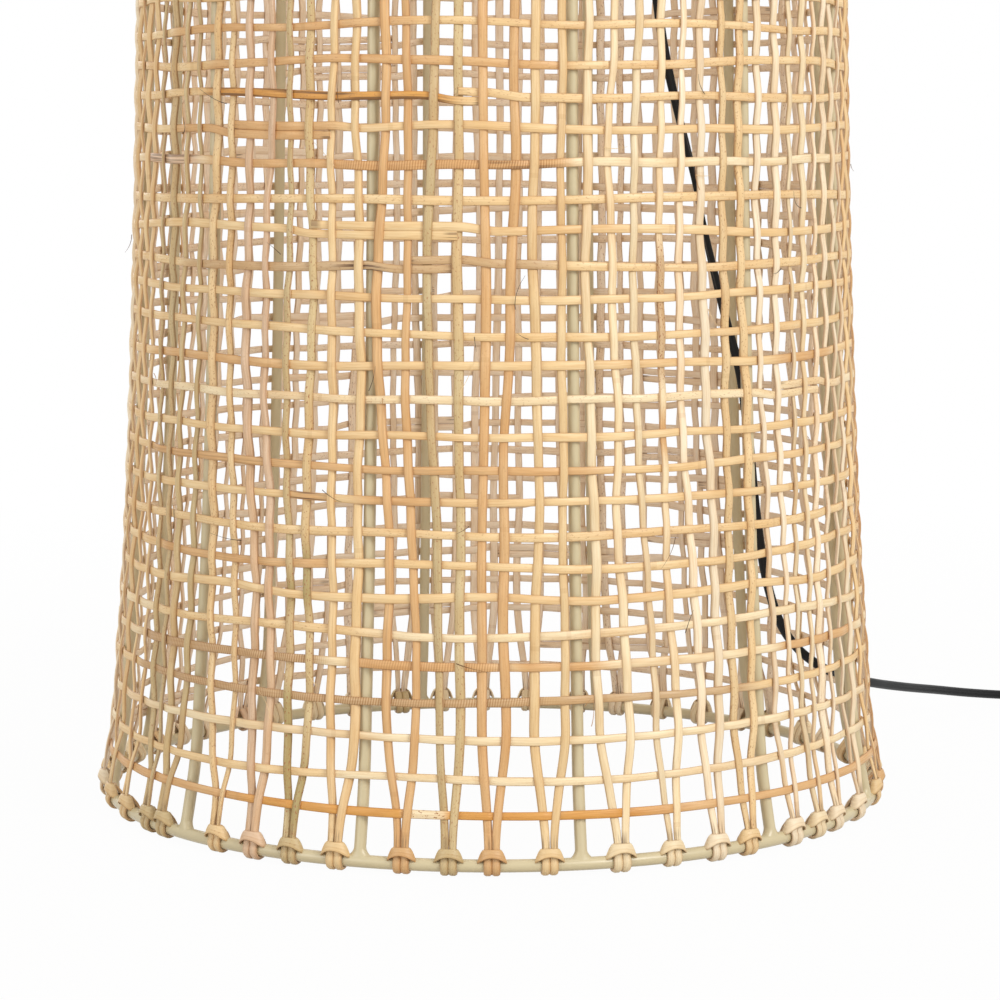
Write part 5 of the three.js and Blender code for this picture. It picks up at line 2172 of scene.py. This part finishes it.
@dataclass
class Fittings:
    """The lampholder on its threaded nipple, with the lock nut and the cord grip below."""

    sweep: Sweep
    set_out: SetOut
    tube: Turning = Turning(
        "nipple_tube", "threaded_nipple", ZINC, "zinc_steel", 0.4 * MM,
        ((0, 3.5, 0, 0), (0, 4.65, 0, 0), (0, 4.65, 1, 0), (0, 3.5, 1, 0)),
    )
    turnings: tuple[Turning, ...] = (
        Turning("grip_cone", "cord_grip", PVC, "black_plastic", 0.8 * MM,
                ((0, 0, 0, 0), (0, 4.2, 0, 0), (0, 8, 1, -12), (0, 8, 1, 0), (0, 5.2, 1, 0),
                 (0, 5.2, 1, -8.8), (0, 0, 1, -8.8))),
        Turning("holder_cup", "holder_base", PHENOLIC, "black_plastic", 1.2 * MM,
                ((0, 5.2, 0, 0), (0, 13, 0, 0), (1, 0, 0, 7), (1, 0, 1, 0), (1, -2.5, 1, 0),
                 (1, -2.5, 0, 9), (0, 13.5, 0, 9), (0, 13.5, 0, 2.5), (0, 5.2, 0, 2.5))),
        Turning("holder_puck", "holder_insulator", CERAMIC, "ceramic", 0.8 * MM,
                ((0, 0, 0, 0), (1, 0, 0, 0), (1, 0, 1, 0), (0, 0, 1, 0))),
        Turning("holder_button", "holder_contact", BRASS, "brass", 0.4 * MM,
                ((0, 0, 0, 0), (0, 4.5, 0, 0), (0, 4.5, 1, -0.6), (0, 3, 1, 0), (0, 0, 1, 0))),
        Turning("holder_shell", "holder_screw_shell", BRASS, "brass", 0.2 * MM,
                ((0, 13.4, 0, 0), (0, 14.1, 0, 0), (0, 14.1, 1, 0), (0, 13.4, 1, 0))),
        Turning("holder_sleeve", "holder_skirt", PHENOLIC, "black_plastic", 0.8 * MM,
                ((0, 14.4, 0, 0), (1, -0.7, 0, 0), (1, -0.7, 1, -4), (1, 0, 1, -3), (1, 0, 1, 0),
                 (0, 14.4, 1, 0))),
    )
    thread_radius: float = 4.65 * MM
    thread_pitch: float = 1.0 * MM
    thread_margin: float = 1 * MM  # plain length at each end of the nipple
    # The thread's ridge: how far each corner stands out, and how far it is along
    thread_ridge: Outline = ((0.35 * MM, 0.0), (-0.2 * MM, 0.45 * MM), (-0.2 * MM, -0.45 * MM))
    nut_radius: float = 8.5 * MM
    nut_bore: float = 5.1 * MM
    nut_chamfer: float = 0.6 * MM
    nut_round: float = 0.94  # how far the corners are turned down, against the radius
    ribs: int = 40
    rib_radius: float = 0.75 * MM
    rib_inset: float = 0.8 * MM
    rib_low: float = 1.5 * MM
    rib_high: float = 5 * MM

    def build(self) -> None:
        """Makes every fitting on the lamp's axis."""
        self.tube.build()
        self._thread()
        self._nut()
        for turning in self.turnings:
            turning.build()
        self._ribs()

    def _thread(self) -> None:
        """Makes the nipple's thread."""
        place = Place.of("threaded_nipple")
        low, high = place.foot + self.thread_margin, place.top - self.thread_margin
        crest = helix(self.thread_radius, low, high, self.thread_pitch)
        seat(self.sweep.along("nipple_thread", [crest], self.thread_ridge, ZINC), "zinc_steel")

    def _nut(self) -> None:
        """Makes the lock nut: six flats with chamfered corners."""
        place = Place.of("lock_nut")
        low, high, chamfer = place.foot, place.top, self.nut_chamfer
        angles = steps_round(48)
        apothem = self.nut_radius * math.cos(TURN / 12)
        flat = apothem / np.cos((angles + TURN / 12) % (TURN / 6) - TURN / 12)
        edge = np.minimum(flat, self.nut_radius * self.nut_round) - chamfer * 0.4
        bore = np.full(len(angles), self.nut_bore)
        rings = [
            (bore, low), (edge, low), (flat, low + chamfer), (flat, high - chamfer), (edge, high),
            (bore, high),
        ]
        build = bmesh.new()
        loops = [[build.verts.new(point) for point in around(angles, radii, z)] for radii, z in rings]
        skin(build, [*loops, loops[0]])
        seat(mesh_piece("nut_hex", build, ZINC, crease=25), "zinc_steel", "lock_nut")

    def _ribs(self) -> None:
        """Sets the grip ribs round the holder's skirt."""
        skirt = Place.of("holder_skirt")
        low, high = skirt.foot + self.rib_low, skirt.top - self.rib_high
        heights = np.array((0, 1, 24, 25)) / 25 * (high - low)
        points = np.column_stack([np.zeros((4, 2)), heights])
        strand = Strand(points, (1.0, 0.0, 0.0), girth=np.array((0.4, 1, 1, 0.4)))
        rib = self.sweep.along("rib", [strand], circle(self.rib_radius, 8), PHENOLIC)
        angles = steps_round(self.ribs)
        places = around(angles, skirt.radius - self.rib_inset, low)
        seat(self.set_out.on("holder_ribs", rib, places, angles, PHENOLIC), "black_plastic")


@dataclass
class Bulb:
    """A clear screw bulb with four filament sticks on its glass stem."""

    sweep: Sweep
    cap: Turning = Turning(
        "cap_shell", "bulb_cap", NICKEL, "nickel", 0.5 * MM,
        ((0, 5.2, 0, 0), (0, 9, 0, 0), (0, 12.4, 0, 4), (0, 12.4, 1, -0.8), (0, 12.9, 1, 0),
         (0, 11.6, 1, 0), (0, 11.6, 0, 5), (0, 8, 0, 1), (0, 5.2, 0, 1)), "bulb",
    )
    tip: Turning = Turning(
        "cap_button", "bulb_tip", NICKEL, "nickel", 0.8 * MM,
        ((0, 0, 0, 0), (0, 3.5, 0, 0.3), (0, 5, 0, 2), (0, 5, 1, 0), (0, 0, 1, 0)), "bulb",
    )
    stem: Turning = Turning(
        "stem_post", "bulb_stem", GLASS, "clear_glass", 1.2 * MM,
        ((0, 0, 0, 0), (0, 10.2, 0, 0), (0, 9.6, 0, 1.5), (0, 4.5, 0, 7), (0, 2.8, 0, 14),
         (0, 2.2, 1, -10), (0, 2.9, 1, -5), (0, 2.2, 1, 0), (0, 0, 1, 0)), "bulb", 48,
    )
    screw_radius: float = 12.4 * MM
    screw_pitch: float = 3.6 * MM
    screw_low: float = 5.5 * MM
    screw_high: float = 4 * MM
    # The screw's ridge: how far each corner stands out, and how far it is along
    screw_ridge: Outline = (
        (0.55 * MM, 0.0), (0.2 * MM, 1.0 * MM), (-0.3 * MM, 1.5 * MM), (-0.3 * MM, -1.5 * MM),
        (0.2 * MM, -1.0 * MM),
    )
    neck: float = 11.7 * MM
    glass_wall: float = 0.8 * MM
    join_deg: float = -38  # where the sphere ends below its middle
    sticks: int = 4
    stick_radius: float = 0.8 * MM
    wire_radius: float = 0.25 * MM
    crown_reach: float = 5.5 * MM
    crown_rise: float = 1.5 * MM
    foot_reach: float = 9.5 * MM
    foot_rise: float = 22 * MM

    def build(self) -> None:
        """Makes the cap, the tip, the glass, the stem and the filaments."""
        self.cap.build()
        self._screw()
        self.tip.build()
        self._glass()
        self.stem.build()
        self._filaments()

    def _screw(self) -> None:
        """Makes the cap's thread."""
        cap = Place.of("bulb_cap")
        low, high = cap.foot + self.screw_low, cap.top - self.screw_high
        crest = helix(self.screw_radius, low, high, self.screw_pitch)
        thread = self.sweep.along("cap_thread", [crest], self.screw_ridge, NICKEL)
        seat(thread, "nickel", body="bulb")

    def _glass(self) -> None:
        """Makes the envelope: a sphere that runs smoothly into its neck."""
        glass, rim = Place.of("bulb_glass"), Place.of("bulb_cap").top
        centre = glass.top - glass.radius
        start = math.radians(self.join_deg)
        lift = (centre - rim) / 3
        slope = np.array((-math.sin(start), math.cos(start)))
        faces = []
        for inset in (0.0, self.glass_wall):
            neck, radius = self.neck - inset, glass.radius - inset
            face = [(neck, glass.foot), (neck, rim)]
            join = np.array((radius * math.cos(start), centre + radius * math.sin(start)))
            low = np.array((neck, rim + 1 * MM))
            for t in np.linspace(0.1, 1, 10, endpoint=False):
                ease = (1 - t) ** 3 * low + 3 * t * (1 - t) ** 2 * (low + (0, lift))
                face.append(tuple(ease + 3 * t * t * (1 - t) * (join - slope * lift) + t**3 * join))
            for angle in np.linspace(start, TURN / 4, 28)[:-1]:
                face.append((radius * math.cos(angle), centre + radius * math.sin(angle)))
            faces.append([*face, (0.0, centre + radius)])
        outside, inside = faces
        piece = turned("envelope", [*inside[::-1], *outside], 0, GLASS, closed=True, sides=96)
        seat(piece, "clear_glass", "bulb_glass", body="bulb")

    def _filaments(self) -> None:
        """Makes the filament sticks round the stem, with the wires that hold them."""
        place = Place.of("bulb_stem")
        crown, foot = place.top + self.crown_rise, place.foot + self.foot_rise
        sticks, wires = [], []
        for angle in steps_round(self.sticks) + TURN / 2 / self.sticks:
            way = np.array((math.cos(angle), math.sin(angle), 0.0))
            aside = np.array((-way[1], way[0], 0.0))
            upper = way * self.crown_reach + (0, 0, crown)
            lower = way * self.foot_reach + (0, 0, foot)
            share = np.linspace(0, 1, 9)[:, None]
            sticks.append(Strand(lower + (upper - lower) * share, way))
            bends = (
                [(0, 0, crown - 3.5 * MM), way * 3 * MM + (0, 0, crown), upper],
                [(0, 0, foot - 6 * MM), way * 6 * MM + (0, 0, foot - 3 * MM), lower],
            )
            wires += [Strand(np.array(bend), aside) for bend in bends]
        made = self.sweep.along("filament_sticks", sticks, circle(self.stick_radius, 8), FILAMENT)
        seat(made, "clear_glass", body="bulb")
        made = self.sweep.along("filament_wires", wires, circle(self.wire_radius, 8), NICKEL)
        seat(made, "nickel", body="bulb")


def main() -> None:
    """Builds the camera, the cords, the lamp and the studio."""
    logging.basicConfig(level=logging.INFO, format="%(name)s: %(message)s", force=True)
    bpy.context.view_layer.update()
    Viewpoint().place()
    sweep, set_out = Sweep(), SetOut()
    Flex(sweep).build()
    cover = Cover(sweep, set_out)
    cover.build()
    Cage(sweep, set_out, cover).build()
    Fittings(sweep, set_out).build()
    Bulb(sweep).build()
    Studio().build()


if __name__ == "__main__":
    main()
